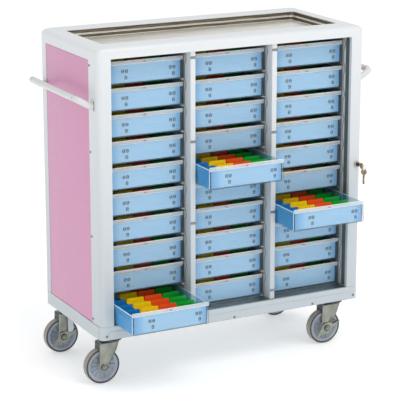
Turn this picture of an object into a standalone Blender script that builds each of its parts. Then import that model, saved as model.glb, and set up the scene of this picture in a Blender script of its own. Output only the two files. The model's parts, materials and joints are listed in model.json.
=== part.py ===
"""A ward medication cart: thirty labelled drawers in a painted steel frame on four swivel casters.

Axes: +X to the right, -Y to the front, +Z up, in metres. The floor is at Z = 0. Everything hangs from
one empty, cart_centre, which stands under the middle of the frame. The world origin is the middle of
the whole cart's box on the floor, with the three drawers pulled out.
"""
import math

import bmesh
import bpy
from mathutils import Vector

# ---------------------------------------------------------------- driving dimensions, metres
WIDTH = 1.015               # frame, outside
DEPTH = 0.476
BASE_Z = 0.170              # underside of the base, on top of the casters
BASE_TOP_Z = 0.2172         # top of the bottom rails
RIM_Z = 1.1172              # lower edge of the top rim at the sides
OPENING_TOP_Z = 1.126       # lower edge of the top rim over the drawers
TOP_Z = 1.1622              # flat top of the rim
POST_WIDTH = 0.0488
FRONT_POST_DEPTH = 0.0724
REAR_POST_DEPTH = 0.048
EDGE_RADIUS = 0.018         # upright outer corners
SHEET = 0.0025              # folded steel
BASE_LIP = 0.020            # width of the lip round the base's open underside
GAP = 0.0003                # between touching pieces

TRAY_HALF_WIDTH = 0.452     # mouth of the worktop tray
TRAY_HALF_DEPTH = 0.153
TRAY_DROP = 0.030
TRAY_STEP = 0.010           # width of the ledge half way down its wall
TRAY_SHEET = 0.0015
TRAY_CORNER = 0.012         # radius of the mouth's corners
TRAY_FLANGE = 0.012         # how far the tray reaches under the rim
PANEL_SHEET = 0.0015
PANEL_FLANGE = 0.010
PANEL_SET_IN = 0.001        # how far a panel's face lies inside the frame's

ROWS = 10
COLUMNS = 3
ROW_PITCH = 0.0896
LOWEST_DRAWER_Z = 0.2215    # underside of the bottom row
MID_POST_WIDTH = 0.019
MID_POST_SETBACK = 0.008
DRAWER_RECESS = 0.055       # drawer fronts lie this far behind the frame's face
DRAWER_WIDTH = 0.285
DRAWER_DEPTH = 0.395
DRAWER_WALL_HEIGHT = 0.070
DRAWER_FRONT_HEIGHT = 0.078
DRAWER_WALL = 0.0025
DRAWER_FRONT = 0.003        # thickness of the front, above the side walls
DRAFT = 0.0015              # how far the inside narrows towards its sole
LEDGE_REACH = 0.010         # how far a runner ledge stands into its column
LEDGE_THICKNESS = 0.003
RUNNER_WEB = 0.003
RUNNER_BACK_Y = 0.2255

# How far a drawer stands open at rest, by (row from the top, column from the left).
PULLED_OUT = {(10, 1): 0.190, (5, 2): 0.142, (7, 3): 0.167}

HANDLE_RADIUS = 0.011
HANDLE_REACH = 0.054        # grip's centre line from the side of the cart
HANDLE_HALF_LENGTH = 0.198
HANDLE_FOOT_Z = 0.972
HANDLE_GRIP_Z = 0.996
HANDLE_BEND = 0.022
HANDLE_FOOT_LENGTH = 0.013  # level stretch before the tube rises


CASTER_X = 0.4405           # swivel axes
CASTER_Y = 0.175
CASTER_TRAIL = 0.040        # wheel axle behind the swivel axis
CASTER_PLATE_HALF = 0.055   # half the flat square in each corner of the base
WHEEL_RADIUS = 0.0625
WHEEL_WIDTH = 0.030
AXLE_RADIUS = 0.005
HUB_HALF_WIDTH = 0.017
FORK_HALF_WIDTH = 0.023
FORK_SHEET = 0.003
FORK_CROWN_Z = 0.150
FORK_BOSS_RADIUS = 0.0165     # round end of a leg, about the axle
FORK_TOP_FRONT = 0.017        # a leg's top edge, before and behind the swivel axis
FORK_TOP_REAR = -0.053
HEAD_HEIGHT = 0.013
HEAD_RADIUS = 0.035         # swivel head, at its widest
HEAD_NECK_RADIUS = 0.024
HEAD_CLEARANCE = 0.0035     # room for the mounting plate between head and base
BRAKE_SHEET = 0.002
BRAKE_PEDAL_REACH = 0.016

LOCK_X = 0.4903
LOCK_Z = 0.6696
LOCK_FLANGE_RADIUS = 0.0115
LOCK_BARREL_RADIUS = 0.009
LOCK_FLANGE_REACH = 0.006   # how far the flange stands out of the post
LOCK_BARREL_DEPTH = 0.022
KEY_SHEET = 0.002
KEY_SHANK_WIDTH = 0.008
KEY_BOW_RADIUS = 0.0115
KEY_LENGTH = 0.025          # from the flange to the middle of the bow
KEY_EYE_RADIUS = 0.003

HALF_W = WIDTH / 2
HALF_D = DEPTH / 2
OPENING_HALF = HALF_W - POST_WIDTH
COLUMN_WIDTH = (2 * OPENING_HALF - (COLUMNS - 1) * MID_POST_WIDTH) / COLUMNS
DRAWER_FRONT_Y = -HALF_D + DRAWER_RECESS
FURTHEST_OUT = DRAWER_FRONT_Y - max(PULLED_OUT.values())
CENTRE_Y = -(FURTHEST_OUT + HALF_D) / 2     # the frame's centre, seen from the world origin


# ---------------------------------------------------------------- shared tools
def clear_scene():
    for thing in list(bpy.data.objects):
        bpy.data.objects.remove(thing, do_unlink=True)


def finish(name, colour, metallic, roughness, alpha=1.0):
    """A plain painted, plated or plastic finish."""
    material = bpy.data.materials.new(name)
    material.use_nodes = True
    shader = material.node_tree.nodes["Principled BSDF"]
    shader.inputs["Base Color"].default_value = (*colour, 1.0)
    shader.inputs["Metallic"].default_value = metallic
    shader.inputs["Roughness"].default_value = roughness
    shader.inputs["Alpha"].default_value = alpha
    return material


def make_empty(name, location):
    empty = bpy.data.objects.new(name, None)
    empty.location = location
    bpy.context.scene.collection.objects.link(empty)
    return empty


def add_mesh(name, mesh, material, parent, location=(0, 0, 0)):
    """Link one named piece into the scene under its parent."""
    piece = bpy.data.objects.new(name, mesh)
    piece.location = location
    piece.parent = parent
    if not mesh.materials:
        mesh.materials.append(material)
    bpy.context.scene.collection.objects.link(piece)
    return piece


def mesh_from(name, build):
    """Run a bmesh builder, point its faces outward and give back the mesh."""
    bm = bmesh.new()
    build(bm)
    bmesh.ops.recalc_face_normals(bm, faces=bm.faces)
    mesh = bpy.data.meshes.new(name)
    bm.to_mesh(mesh)
    bm.free()
    return mesh


def skin(bm, loops, closed=False):
    """Join loops of equal length with quads; cap both ends unless the skin closes on itself."""
    rings = [[bm.verts.new(point) for point in loop] for loop in loops]
    pairs = list(zip(rings, rings[1:]))
    if closed:
        pairs.append((rings[-1], rings[0]))
    else:
        bm.faces.new(rings[0])
        bm.faces.new(rings[-1])
    for lower, upper in pairs:
        for i in range(len(lower)):
            j = (i + 1) % len(lower)
            bm.faces.new((lower[i], lower[j], upper[j], upper[i]))


def prism(bm, outline, low, high, axis="Z"):
    """Extrude a flat outline along an axis. The outline's pairs are the two other axes, in order."""
    def place(pair, level):
        a, b = pair
        return {"X": (level, a, b), "Y": (a, level, b), "Z": (a, b, level)}[axis]
    skin(bm, [[place(pair, low) for pair in outline], [place(pair, high) for pair in outline]])


def rectangle(x0, y0, x1, y1):
    return [(x0, y0), (x1, y0), (x1, y1), (x0, y1)]


def box(bm, low, high):
    prism(bm, rectangle(low[0], low[1], high[0], high[1]), low[2], high[2])


def arc(centre, radius, start, end, steps):
    """Points on an arc, angles in degrees, both ends included."""
    points = []
    for i in range(steps + 1):
        angle = math.radians(start + (end - start) * i / steps)
        points.append((centre[0] + radius * math.cos(angle), centre[1] + radius * math.sin(angle)))
    return points


def rounded_rectangle(half_x, half_y, radius, steps=4):
    """A rectangle about the origin with round corners, anticlockwise from its right front corner."""
    points = []
    for sign_x, sign_y, start in ((1, -1, -90), (1, 1, 0), (-1, 1, 90), (-1, -1, 180)):
        centre = (sign_x * (half_x - radius), sign_y * (half_y - radius))
        points += arc(centre, radius, start, start + 90, steps)
    return points


def at_height(outline, z):
    return [(x, y, z) for x, y in outline]


def cutter(name, build, parent, location=(0, 0, 0)):
    """A guide shape for a Boolean; it isn't part of the cart."""
    mesh = mesh_from(name, build)
    guide = add_mesh(name, mesh, None, parent, location)
    guide.hide_render = True
    guide.display_type = "WIRE"
    return guide


def boolean(piece, guide, operation="DIFFERENCE"):
    modifier = piece.modifiers.new(operation.lower(), "BOOLEAN")
    modifier.object = guide
    modifier.operation = operation
    modifier.solver = "EXACT"


def shade_round(mesh, angle=40):
    mesh.shade_smooth()
    mesh.set_sharp_from_angle(angle=math.radians(angle))


# ---------------------------------------------------------------- frame
def post_outline(side, end, depth):
    """Plan of an upright post whose one outer corner is round. side and end are -1 or +1."""
    outer_x = side * HALF_W
    inner_x = side * OPENING_HALF
    outer_y = end * HALF_D
    inner_y = outer_y - end * depth
    centre = (outer_x - side * EDGE_RADIUS, outer_y - end * EDGE_RADIUS)
    start = {(1, -1): -90, (1, 1): 0, (-1, 1): 90, (-1, -1): 180}[(side, end)]
    corner = arc(centre, EDGE_RADIUS, start, start + 90, 5)
    if side * end > 0:
        rest = [(inner_x, outer_y), (inner_x, inner_y), (outer_x, inner_y)]
    else:
        rest = [(outer_x, inner_y), (inner_x, inner_y), (inner_x, outer_y)]
    return corner + rest


def shrink_towards_middle(outline, amount):
    """Move an outline's points inward, to draw the inside of a hollow post."""
    xs = [p[0] for p in outline]
    ys = [p[1] for p in outline]
    middle_x = (min(xs) + max(xs)) / 2
    middle_y = (min(ys) + max(ys)) / 2
    scale_x = 1 - 2 * amount / (max(xs) - min(xs))
    scale_y = 1 - 2 * amount / (max(ys) - min(ys))
    return [(middle_x + (x - middle_x) * scale_x, middle_y + (y - middle_y) * scale_y) for x, y in outline]


def add_posts(parent, paint):
    """Four hollow corner posts between the base and the top rim."""
    low = BASE_TOP_Z + GAP
    high = RIM_Z - GAP
    posts = {}
    for end, end_name, depth in ((-1, "front", FRONT_POST_DEPTH), (1, "rear", REAR_POST_DEPTH)):
        for side, side_name in ((-1, "left"), (1, "right")):
            outer = post_outline(side, end, depth)
            inner = shrink_towards_middle(outer, SHEET)
            loops = [at_height(outer, low), at_height(outer, high)]
            loops += [at_height(inner, high), at_height(inner, low)]
            name = end_name + "_" + side_name + "_post"
            mesh = mesh_from(name, lambda bm: skin(bm, loops, closed=True))
            posts[name] = add_mesh(name, mesh, paint, parent)
    hole = arc((0, 0), LOCK_BARREL_RADIUS + GAP, 0, 345, 23)
    reach = 4 * SHEET
    lock_place = (LOCK_X, -HALF_D, LOCK_Z)
    guide = cutter("lock_hole", lambda bm: prism(bm, hole, -reach, reach, "Y"), parent, lock_place)
    boolean(posts["front_right_post"], guide)


def add_base(parent, paint):
    """The base: a folded pan open below, with a flat plate in each corner for a caster."""
    outline = rounded_rectangle(HALF_W, HALF_D, EDGE_RADIUS, 5)
    loops = [at_height(outline, BASE_Z), at_height(outline, BASE_TOP_Z)]
    base = add_mesh("base_frame", mesh_from("base_frame", lambda bm: skin(bm, loops)), paint, parent)
    inside = rounded_rectangle(HALF_W - SHEET, HALF_D - SHEET, EDGE_RADIUS - SHEET, 5)
    inside_low = BASE_Z + SHEET
    inside_high = BASE_TOP_Z - SHEET
    boolean(base, cutter("base_inside", lambda bm: prism(bm, inside, inside_low, inside_high), parent))
    arm_x = CASTER_X - CASTER_PLATE_HALF
    arm_y = CASTER_Y - CASTER_PLATE_HALF
    end_x = HALF_W - BASE_LIP
    end_y = HALF_D - BASE_LIP
    quarter = [(arm_x, end_y), (arm_x, arm_y), (end_x, arm_y)]
    cross = [(-x, -y) for x, y in quarter[::-1]]
    cross += [(x, -y) for x, y in quarter]
    cross += quarter[::-1]
    cross += [(-x, y) for x, y in quarter]
    reach = 4 * SHEET
    boolean(base, cutter("base_mouth", lambda bm: prism(bm, cross, BASE_Z - reach, BASE_Z + reach), parent))


def add_top_rim(parent, paint):
    """The top rim: a folded ring, open below, round along its upper outer edge."""
    side_round = 0.022
    front_round = 0.012
    round_height = 0.016
    skirt = TRAY_FLANGE + 0.002
    hole = rounded_rectangle(TRAY_HALF_WIDTH, TRAY_HALF_DEPTH, TRAY_CORNER)
    hole_skirt = rounded_rectangle(TRAY_HALF_WIDTH + skirt, TRAY_HALF_DEPTH + skirt, TRAY_CORNER + 0.008)
    inside = rounded_rectangle(HALF_W - SHEET, HALF_D - SHEET, EDGE_RADIUS - SHEET)
    loops = [at_height(rounded_rectangle(HALF_W, HALF_D, EDGE_RADIUS), RIM_Z)]
    for step in range(5):
        turn = math.radians(90 * step / 4)
        inset_x = side_round * (1 - math.cos(turn))
        inset_y = front_round * (1 - math.cos(turn))
        z = TOP_Z - round_height * (1 - math.sin(turn))
        loops.append(at_height(rounded_rectangle(HALF_W - inset_x, HALF_D - inset_y, EDGE_RADIUS), z))
    loops.append(at_height(hole, TOP_Z))
    loops.append(at_height(hole, TOP_Z - SHEET))
    loops.append(at_height(hole_skirt, TOP_Z - SHEET))
    under_x = HALF_W - side_round - 0.004
    under_y = HALF_D - front_round - 0.004
    loops.append(at_height(rounded_rectangle(under_x, under_y, EDGE_RADIUS), TOP_Z - SHEET))
    loops.append(at_height(inside, TOP_Z - round_height - SHEET))
    loops.append(at_height(inside, RIM_Z))
    mesh = mesh_from("top_rim", lambda bm: skin(bm, loops, closed=True))
    shade_round(mesh)
    rim = add_mesh("top_rim", mesh, paint, parent)
    for name, end in (("rim_front_cut", -1), ("rim_rear_cut", 1)):
        outside = end * (HALF_D + 4 * SHEET)
        inside_y = end * (HALF_D - 16 * SHEET)
        low = (-OPENING_HALF, min(outside, inside_y), RIM_Z - 4 * SHEET)
        high = (OPENING_HALF, max(outside, inside_y), OPENING_TOP_Z)
        boolean(rim, cutter(name, lambda bm: box(bm, low, high), parent))


def add_tray(parent, steel):
    """The worktop: a pressed stainless tray with a ledge half way down, held under the rim by its flange."""
    top = TOP_Z - SHEET - GAP
    floor = TOP_Z - TRAY_DROP
    half = (top + floor) / 2
    sheet = TRAY_SHEET
    wide = TRAY_CORNER + 0.002
    mouth_x = TRAY_HALF_WIDTH - 2 * GAP
    mouth_y = TRAY_HALF_DEPTH - 2 * GAP

    def ring(inset, radius, z):
        return at_height(rounded_rectangle(mouth_x - inset, mouth_y - inset, radius), z)

    loops = [
        ring(TRAY_STEP, TRAY_CORNER, floor),
        ring(TRAY_STEP, TRAY_CORNER, half),
        ring(0, wide, half),
        ring(0, wide, top),
        ring(-TRAY_FLANGE, wide, top),
        ring(-TRAY_FLANGE, wide, top - sheet),
        ring(-sheet, wide, top - sheet),
        ring(-sheet, wide, half - sheet),
        ring(TRAY_STEP - sheet, TRAY_CORNER, half - sheet),
        ring(TRAY_STEP - sheet, TRAY_CORNER, floor - sheet),
    ]
    add_mesh("worktop_tray", mesh_from("worktop_tray", lambda bm: skin(bm, loops)), steel, parent)


def add_panel(name, parent, paint, centre, half_u, half_v, normal):
    """A folded sheet panel: a flat face with a flange all round, turned inward. normal is X or Y, signed."""
    axis, sign = normal

    def ring(inset, depth):
        points = rectangle(-half_u + inset, -half_v + inset, half_u - inset, half_v - inset)
        inward = -sign * depth
        if axis == "X":
            return [(centre[0] + inward, centre[1] + u, centre[2] + v) for u, v in points]
        return [(centre[0] + u, centre[1] + inward, centre[2] + v) for u, v in points]

    thin = PANEL_SHEET
    loops = [ring(0, 0), ring(0, PANEL_FLANGE), ring(thin, PANEL_FLANGE), ring(thin, thin)]
    add_mesh(name, mesh_from(name, lambda bm: skin(bm, loops)), paint, parent)


def add_panels(parent, side_paint, back_paint):
    clear = GAP + 0.0001
    low = BASE_TOP_Z + clear
    side_y0 = -HALF_D + FRONT_POST_DEPTH + clear
    side_y1 = HALF_D - REAR_POST_DEPTH - clear
    side_z1 = RIM_Z - clear
    for side, name in ((-1, "left_side_panel"), (1, "right_side_panel")):
        centre = (side * (HALF_W - PANEL_SET_IN), (side_y0 + side_y1) / 2, (low + side_z1) / 2)
        add_panel(name, parent, side_paint, centre, (side_y1 - side_y0) / 2, (side_z1 - low) / 2, ("X", side))
    back_z1 = OPENING_TOP_Z - clear
    centre = (0, HALF_D - PANEL_SET_IN, (low + back_z1) / 2)
    add_panel("back_panel", parent, back_paint, centre, OPENING_HALF - clear, (back_z1 - low) / 2, ("Y", 1))


# ---------------------------------------------------------------- drawers and what carries them
def column_centre(column):
    return (column - (COLUMNS + 1) / 2) * (COLUMN_WIDTH + MID_POST_WIDTH)


def drawer_floor_z(row):
    return LOWEST_DRAWER_Z + (ROWS - row) * ROW_PITCH


def comb_outline(web_low, web_high, left_reach, right_reach):
    """A runner's section: an upright web with a ledge under each drawer on its left, its right or both."""
    bottom = BASE_TOP_Z + 2 * GAP
    top = OPENING_TOP_Z - 2 * GAP
    ledges = []
    for row in range(ROWS, 0, -1):
        upper = drawer_floor_z(row) - 2 * GAP
        ledges.append((upper - LEDGE_THICKNESS, upper))
    outline = [(web_low, bottom), (web_high, bottom)]
    if right_reach:
        for low, high in ledges:
            outline += [(web_high, low), (right_reach, low), (right_reach, high), (web_high, high)]
    outline += [(web_high, top), (web_low, top)]
    if left_reach:
        for low, high in reversed(ledges):
            outline += [(web_low, high), (left_reach, high), (left_reach, low), (web_low, low)]
    return outline


def add_runners(parent, plastic):
    """Four moulded runner walls: one at each side and one behind each mid post."""
    front_y = DRAWER_FRONT_Y
    mid_x = (COLUMN_WIDTH + MID_POST_WIDTH) / 2
    inner = OPENING_HALF - GAP
    mid_ledge = MID_POST_WIDTH / 2 + LEDGE_REACH
    sections = {
        "left_runner_wall": comb_outline(-inner, -inner + RUNNER_WEB, 0, -OPENING_HALF + LEDGE_REACH),
        "mid_left_runner_wall": comb_outline(-mid_x - RUNNER_WEB / 2, -mid_x + RUNNER_WEB / 2,
                                             -mid_x - mid_ledge, -mid_x + mid_ledge),
        "mid_right_runner_wall": comb_outline(mid_x - RUNNER_WEB / 2, mid_x + RUNNER_WEB / 2,
                                              mid_x - mid_ledge, mid_x + mid_ledge),
        "right_runner_wall": comb_outline(inner - RUNNER_WEB, inner, OPENING_HALF - LEDGE_REACH, 0),
    }
    for name, outline in sections.items():
        mesh = mesh_from(name, lambda bm: prism(bm, outline, front_y, RUNNER_BACK_Y, "Y"))
        add_mesh(name, mesh, plastic, parent)


def add_mid_posts(parent, paint):
    """Two narrow uprights between the columns of drawers, set back a little from the frame's face."""
    front = -HALF_D + MID_POST_SETBACK
    back = DRAWER_FRONT_Y - GAP
    half = MID_POST_WIDTH / 2
    sheet = 0.002
    low = BASE_TOP_Z + GAP
    high = OPENING_TOP_Z - GAP
    for side, name in ((-1, "left_mid_post"), (1, "right_mid_post")):
        x = side * (COLUMN_WIDTH + MID_POST_WIDTH) / 2
        outer = rectangle(x - half, front, x + half, back)
        inner = rectangle(x - half + sheet, front + sheet, x + half - sheet, back - sheet)
        loops = [at_height(outer, low), at_height(outer, high), at_height(inner, high), at_height(inner, low)]
        add_mesh(name, mesh_from(name, lambda bm: skin(bm, loops, closed=True)), paint, parent)


def drawer_mesh():
    """An open plastic drawer with a taller front; its origin is at the front, low edge, middle."""
    half = DRAWER_WIDTH / 2
    wall = DRAWER_WALL
    front = DRAWER_FRONT
    top = DRAWER_WALL_HEIGHT

    def build(bm):
        side_view = [(0, 0), (DRAWER_DEPTH, 0), (DRAWER_DEPTH, top), (front, top),
                     (front, DRAWER_FRONT_HEIGHT), (0, DRAWER_FRONT_HEIGHT)]
        left = [bm.verts.new((-half, y, z)) for y, z in side_view]
        right = [bm.verts.new((half, y, z)) for y, z in side_view]
        bm.faces.new(left)
        bm.faces.new(right)
        for i in (0, 1, 3, 4, 5):
            j = (i + 1) % len(side_view)
            bm.faces.new((left[i], left[j], right[j], right[i]))
        rim = [left[3], right[3], right[2], left[2]]
        inside = rectangle(-half + wall, front + DRAFT / 3, half - wall, DRAWER_DEPTH - wall)
        sole_inside = rectangle(-half + wall + DRAFT, front + DRAFT * 4 / 3, half - wall - DRAFT,
                                DRAWER_DEPTH - wall - DRAFT)
        lip = [bm.verts.new((x, y, top)) for x, y in inside]
        sole = [bm.verts.new((x, y, wall)) for x, y in sole_inside]
        for i in range(4):
            j = (i + 1) % 4
            bm.faces.new((rim[i], rim[j], lip[j], lip[i]))
            bm.faces.new((lip[i], lip[j], sole[j], sole[i]))
        bm.faces.new(sole)

    return mesh_from("drawer", build)


def add_drawers(parent, plastic):
    """Thirty drawers share one mesh; each is its own piece on its own slide."""
    mesh = drawer_mesh()
    mesh.materials.append(plastic)
    for row in range(1, ROWS + 1):
        for column in range(1, COLUMNS + 1):
            name = "drawer_r%02d_c%d" % (row, column)
            y = DRAWER_FRONT_Y - PULLED_OUT.get((row, column), 0)
            add_mesh(name, mesh, plastic, parent, (column_centre(column), y, drawer_floor_z(row)))


# ---------------------------------------------------------------- handles
def bend(points, radius, steps=5):
    """Round a polyline's inner corners with a smooth turn."""
    path = [Vector(points[0])]
    for before, corner, after in zip(points, points[1:], points[2:]):
        corner = Vector(corner)
        to_before = (Vector(before) - corner).normalized()
        to_after = (Vector(after) - corner).normalized()
        half_angle = to_before.angle(to_after) / 2
        reach = min(radius / math.tan(half_angle), 0.45 * (Vector(before) - corner).length,
                    0.45 * (Vector(after) - corner).length)
        start = corner + to_before * reach
        end = corner + to_after * reach
        for step in range(steps + 1):
            t = step / steps
            path.append(start * (1 - t) ** 2 + corner * 2 * t * (1 - t) + end * t ** 2)
    path.append(Vector(points[-1]))
    return path


def add_handles(parent, paint):
    """A bent tube handle on each side; it leaves the posts level, rises and runs along the side."""
    for side, name in ((-1, "left_handle"), (1, "right_handle")):
        foot_x = side * (HALF_W + GAP)
        turn_x = side * (HALF_W + HANDLE_FOOT_LENGTH)
        grip_x = side * (HALF_W + HANDLE_REACH)
        corners = []
        for end in (-1, 1):
            y = end * HANDLE_HALF_LENGTH
            leg = [(foot_x, y, HANDLE_FOOT_Z), (turn_x, y, HANDLE_FOOT_Z), (grip_x, y, HANDLE_GRIP_Z)]
            corners += leg if end < 0 else reversed(leg)
        curve = bpy.data.curves.new(name, "CURVE")
        curve.dimensions = "3D"
        curve.bevel_depth = HANDLE_RADIUS
        curve.bevel_resolution = 3
        curve.use_fill_caps = True
        path = bend(corners, HANDLE_BEND)
        spline = curve.splines.new("POLY")
        spline.points.add(len(path) - 1)
        for point, place in zip(spline.points, path):
            point.co = (*place, 1.0)
        curve.materials.append(paint)
        handle = bpy.data.objects.new(name, curve)
        handle.parent = parent
        bpy.context.scene.collection.objects.link(handle)


# ---------------------------------------------------------------- casters
def turned(profile, axis, steps):
    """Turn a closed profile of (radius, position) pairs about an axis."""
    rings = []
    for radius, along in profile:
        ring = []
        for i in range(steps):
            angle = 2 * math.pi * i / steps
            a = radius * math.cos(angle)
            b = radius * math.sin(angle)
            ring.append((a, along, b) if axis == "Y" else (a, b, along))
        rings.append(ring)
    return rings


def wheel_mesh():
    """A rubber-tyred wheel with a dished disc, its hub and its axle bore; its origin is its centre."""
    half = WHEEL_WIDTH / 2
    bore = AXLE_RADIUS + GAP
    hub = HUB_HALF_WIDTH
    disc = 0.007
    one_side = [(bore, -hub), (0.014, -hub), (0.016, -disc), (0.046, -disc), (0.051, -half),
                (0.060, -half + 0.002), (WHEEL_RADIUS, -0.009)]
    profile = one_side + [(radius, -along) for radius, along in reversed(one_side)]
    mesh = mesh_from("wheel", lambda bm: skin(bm, turned(profile, "Y", 28), closed=True))
    shade_round(mesh, 50)
    return mesh


def fork_side_outline():
    """Side view of a fork leg: wide at the crown, under the swivel head, narrow round the axle."""
    around_axle = arc((-CASTER_TRAIL, WHEEL_RADIUS), FORK_BOSS_RADIUS, 190, 350, 6)
    shoulder_z = 0.78 * FORK_CROWN_Z
    front = [(FORK_TOP_FRONT - 0.009, shoulder_z), (FORK_TOP_FRONT, FORK_CROWN_Z)]
    rear = [(FORK_TOP_REAR, FORK_CROWN_Z), (FORK_TOP_REAR - 0.002, shoulder_z)]
    return around_axle + front + rear


def add_fork(name, parent, plated):
    """A pressed fork with its axle and swivel head, as one piece."""
    half = FORK_HALF_WIDTH
    mesh = mesh_from(name, lambda bm: prism(bm, fork_side_outline(), -half, half, "Y"))
    fork = add_mesh(name, mesh, plated, parent)
    throat = half - FORK_SHEET
    throat_low = (-2 * WHEEL_RADIUS, -throat, 0)
    throat_high = (2 * WHEEL_RADIUS, throat, FORK_CROWN_Z - FORK_SHEET)
    boolean(fork, cutter(name + "_throat", lambda bm: box(bm, throat_low, throat_high), parent))
    axle = arc((-CASTER_TRAIL, WHEEL_RADIUS), AXLE_RADIUS, 0, 330, 11)
    axle_end = half + 0.004
    guide = cutter(name + "_axle", lambda bm: prism(bm, axle, -axle_end, axle_end, "Y"), parent)
    boolean(fork, guide, "UNION")
    shoulder_z = FORK_CROWN_Z + HEAD_HEIGHT
    head = [(HEAD_RADIUS - 0.002, FORK_CROWN_Z - 0.001), (HEAD_RADIUS, FORK_CROWN_Z + 0.005),
            (HEAD_RADIUS - 0.005, shoulder_z - 0.002), (HEAD_NECK_RADIUS, shoulder_z),
            (HEAD_NECK_RADIUS, BASE_Z - HEAD_CLEARANCE)]
    boolean(fork, cutter(name + "_head", lambda bm: skin(bm, turned(head, "Z", 20)), parent), "UNION")


def add_brake(name, parent, plated):
    """A foot brake plate that rocks on the axle's outer end, with a pedal turned outward."""
    face = -FORK_HALF_WIDTH - 2 * GAP
    back = face - BRAKE_SHEET
    outline = [(-0.047, -0.034), (-0.036, -0.036), (-0.006, -0.014), (0.012, -0.010), (0.030, 0.006),
               (0.042, 0.030), (0.020, 0.024), (0.000, 0.014), (-0.012, 0.008), (-0.016, -0.006)]
    mesh = mesh_from(name, lambda bm: prism(bm, outline, back, face, "Y"))
    brake = add_mesh(name, mesh, plated, parent)
    hole = arc((0, 0), AXLE_RADIUS + GAP, 0, 330, 11)
    through = 4 * BRAKE_SHEET
    guide = cutter(name + "_hole", lambda bm: prism(bm, hole, back - through, face + through, "Y"), parent)
    boolean(brake, guide)
    pedal = [(0.030, 0.006), (0.032, 0.005), (0.044, 0.029), (0.042, 0.030)]
    pedal_end = back - BRAKE_PEDAL_REACH
    pedal_root = face - BRAKE_SHEET / 4
    guide = cutter(name + "_pedal", lambda bm: prism(bm, pedal, pedal_end, pedal_root, "Y"), parent)
    boolean(brake, guide, "UNION")


def add_casters(parent, plated, rubber):
    """Four swivel casters, all trailing to the left; two of them, on one diagonal, have a brake."""
    wheel = wheel_mesh()
    wheel.materials.append(rubber)
    braked = ("front_right", "rear_left")
    for end, end_name in ((-1, "front"), (1, "rear")):
        for side, side_name in ((-1, "left"), (1, "right")):
            place = end_name + "_" + side_name
            swivel = make_empty(place + "_swivel_axis", (side * CASTER_X, end * CASTER_Y, 0))
            swivel.parent = parent
            add_fork(place + "_fork", swivel, plated)
            axle = make_empty(place + "_axle_axis", (-CASTER_TRAIL, 0, WHEEL_RADIUS))
            axle.parent = swivel
            add_mesh(place + "_wheel", wheel, rubber, axle)
            if place in braked:
                add_brake(place + "_brake", axle, plated)


# ---------------------------------------------------------------- lock
def add_lock(parent, plated, brass):
    """The lock barrel, turned from the front, and the key that stands in it."""
    axis = make_empty("lock_axis", (LOCK_X, -HALF_D, LOCK_Z))
    axis.parent = parent
    flange_front = -LOCK_FLANGE_REACH
    chamfer = 0.002
    barrel = [(LOCK_FLANGE_RADIUS - chamfer, flange_front), (LOCK_FLANGE_RADIUS, flange_front + chamfer),
              (LOCK_FLANGE_RADIUS, -GAP), (LOCK_BARREL_RADIUS, -GAP), (LOCK_BARREL_RADIUS, LOCK_BARREL_DEPTH)]
    mesh = mesh_from("lock_barrel", lambda bm: skin(bm, turned(barrel, "Y", 24)))
    add_mesh("lock_barrel", mesh, plated, axis)
    bow_centre = flange_front - KEY_LENGTH
    bow = arc((bow_centre, 0), KEY_BOW_RADIUS, 20, 340, 12)
    half_shank = KEY_SHANK_WIDTH / 2
    half_sheet = KEY_SHEET / 2
    outline = [(flange_front - GAP, -half_shank), (flange_front - GAP, half_shank)] + bow
    mesh = mesh_from("key", lambda bm: prism(bm, outline, -half_sheet, half_sheet, "X"))
    key = add_mesh("key", mesh, brass, axis)
    eye = arc((bow_centre - KEY_BOW_RADIUS / 2, 0), KEY_EYE_RADIUS, 0, 330, 11)
    boolean(key, cutter("key_eye", lambda bm: prism(bm, eye, -KEY_SHEET, KEY_SHEET, "X"), axis))


# ---------------------------------------------------------------- the whole cart
def main():
    clear_scene()
    centre = make_empty("cart_centre", (0, CENTRE_Y, 0))
    white = finish("white_paint", (0.80, 0.82, 0.84), 0.0, 0.35)
    grey = finish("grey_paint", (0.70, 0.73, 0.74), 0.0, 0.35)
    pink = finish("pink_paint", (0.68, 0.36, 0.53), 0.0, 0.40)
    steel = finish("stainless_sheet", (0.62, 0.60, 0.56), 1.0, 0.25)
    clear = finish("clear_plastic", (0.55, 0.75, 0.88), 0.0, 0.15, 0.6)
    runner = finish("runner_plastic", (0.60, 0.64, 0.66), 0.0, 0.45)
    plated = finish("zinc_plate", (0.55, 0.55, 0.50), 1.0, 0.35)
    brass = finish("brass", (0.70, 0.56, 0.30), 1.0, 0.30)
    rubber = finish("grey_rubber", (0.36, 0.34, 0.32), 0.0, 0.60)
    add_posts(centre, white)
    add_base(centre, white)
    add_top_rim(centre, white)
    add_tray(centre, steel)
    add_panels(centre, pink, white)
    add_mid_posts(centre, white)
    add_runners(centre, runner)
    add_drawers(centre, clear)
    add_handles(centre, grey)
    add_casters(centre, plated, rubber)
    add_lock(centre, plated, brass)


main()
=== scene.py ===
# %% [markdown]
# # A ward medication cart, built as a lesson
# The cart is a welded steel frame with a stainless worktop, thirty clear drawers on runners, two bent
# tube handles and four swivel casters. Its working shape comes ready made, one solid for each part, and
# moves as it should. Here each part gets the shape and finish that the eye expects: round edges, pressed
# steel, clear plastic, printed cards and coloured dividers.
# Each cell makes one thing and prints what it made.

import json
import math

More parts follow.
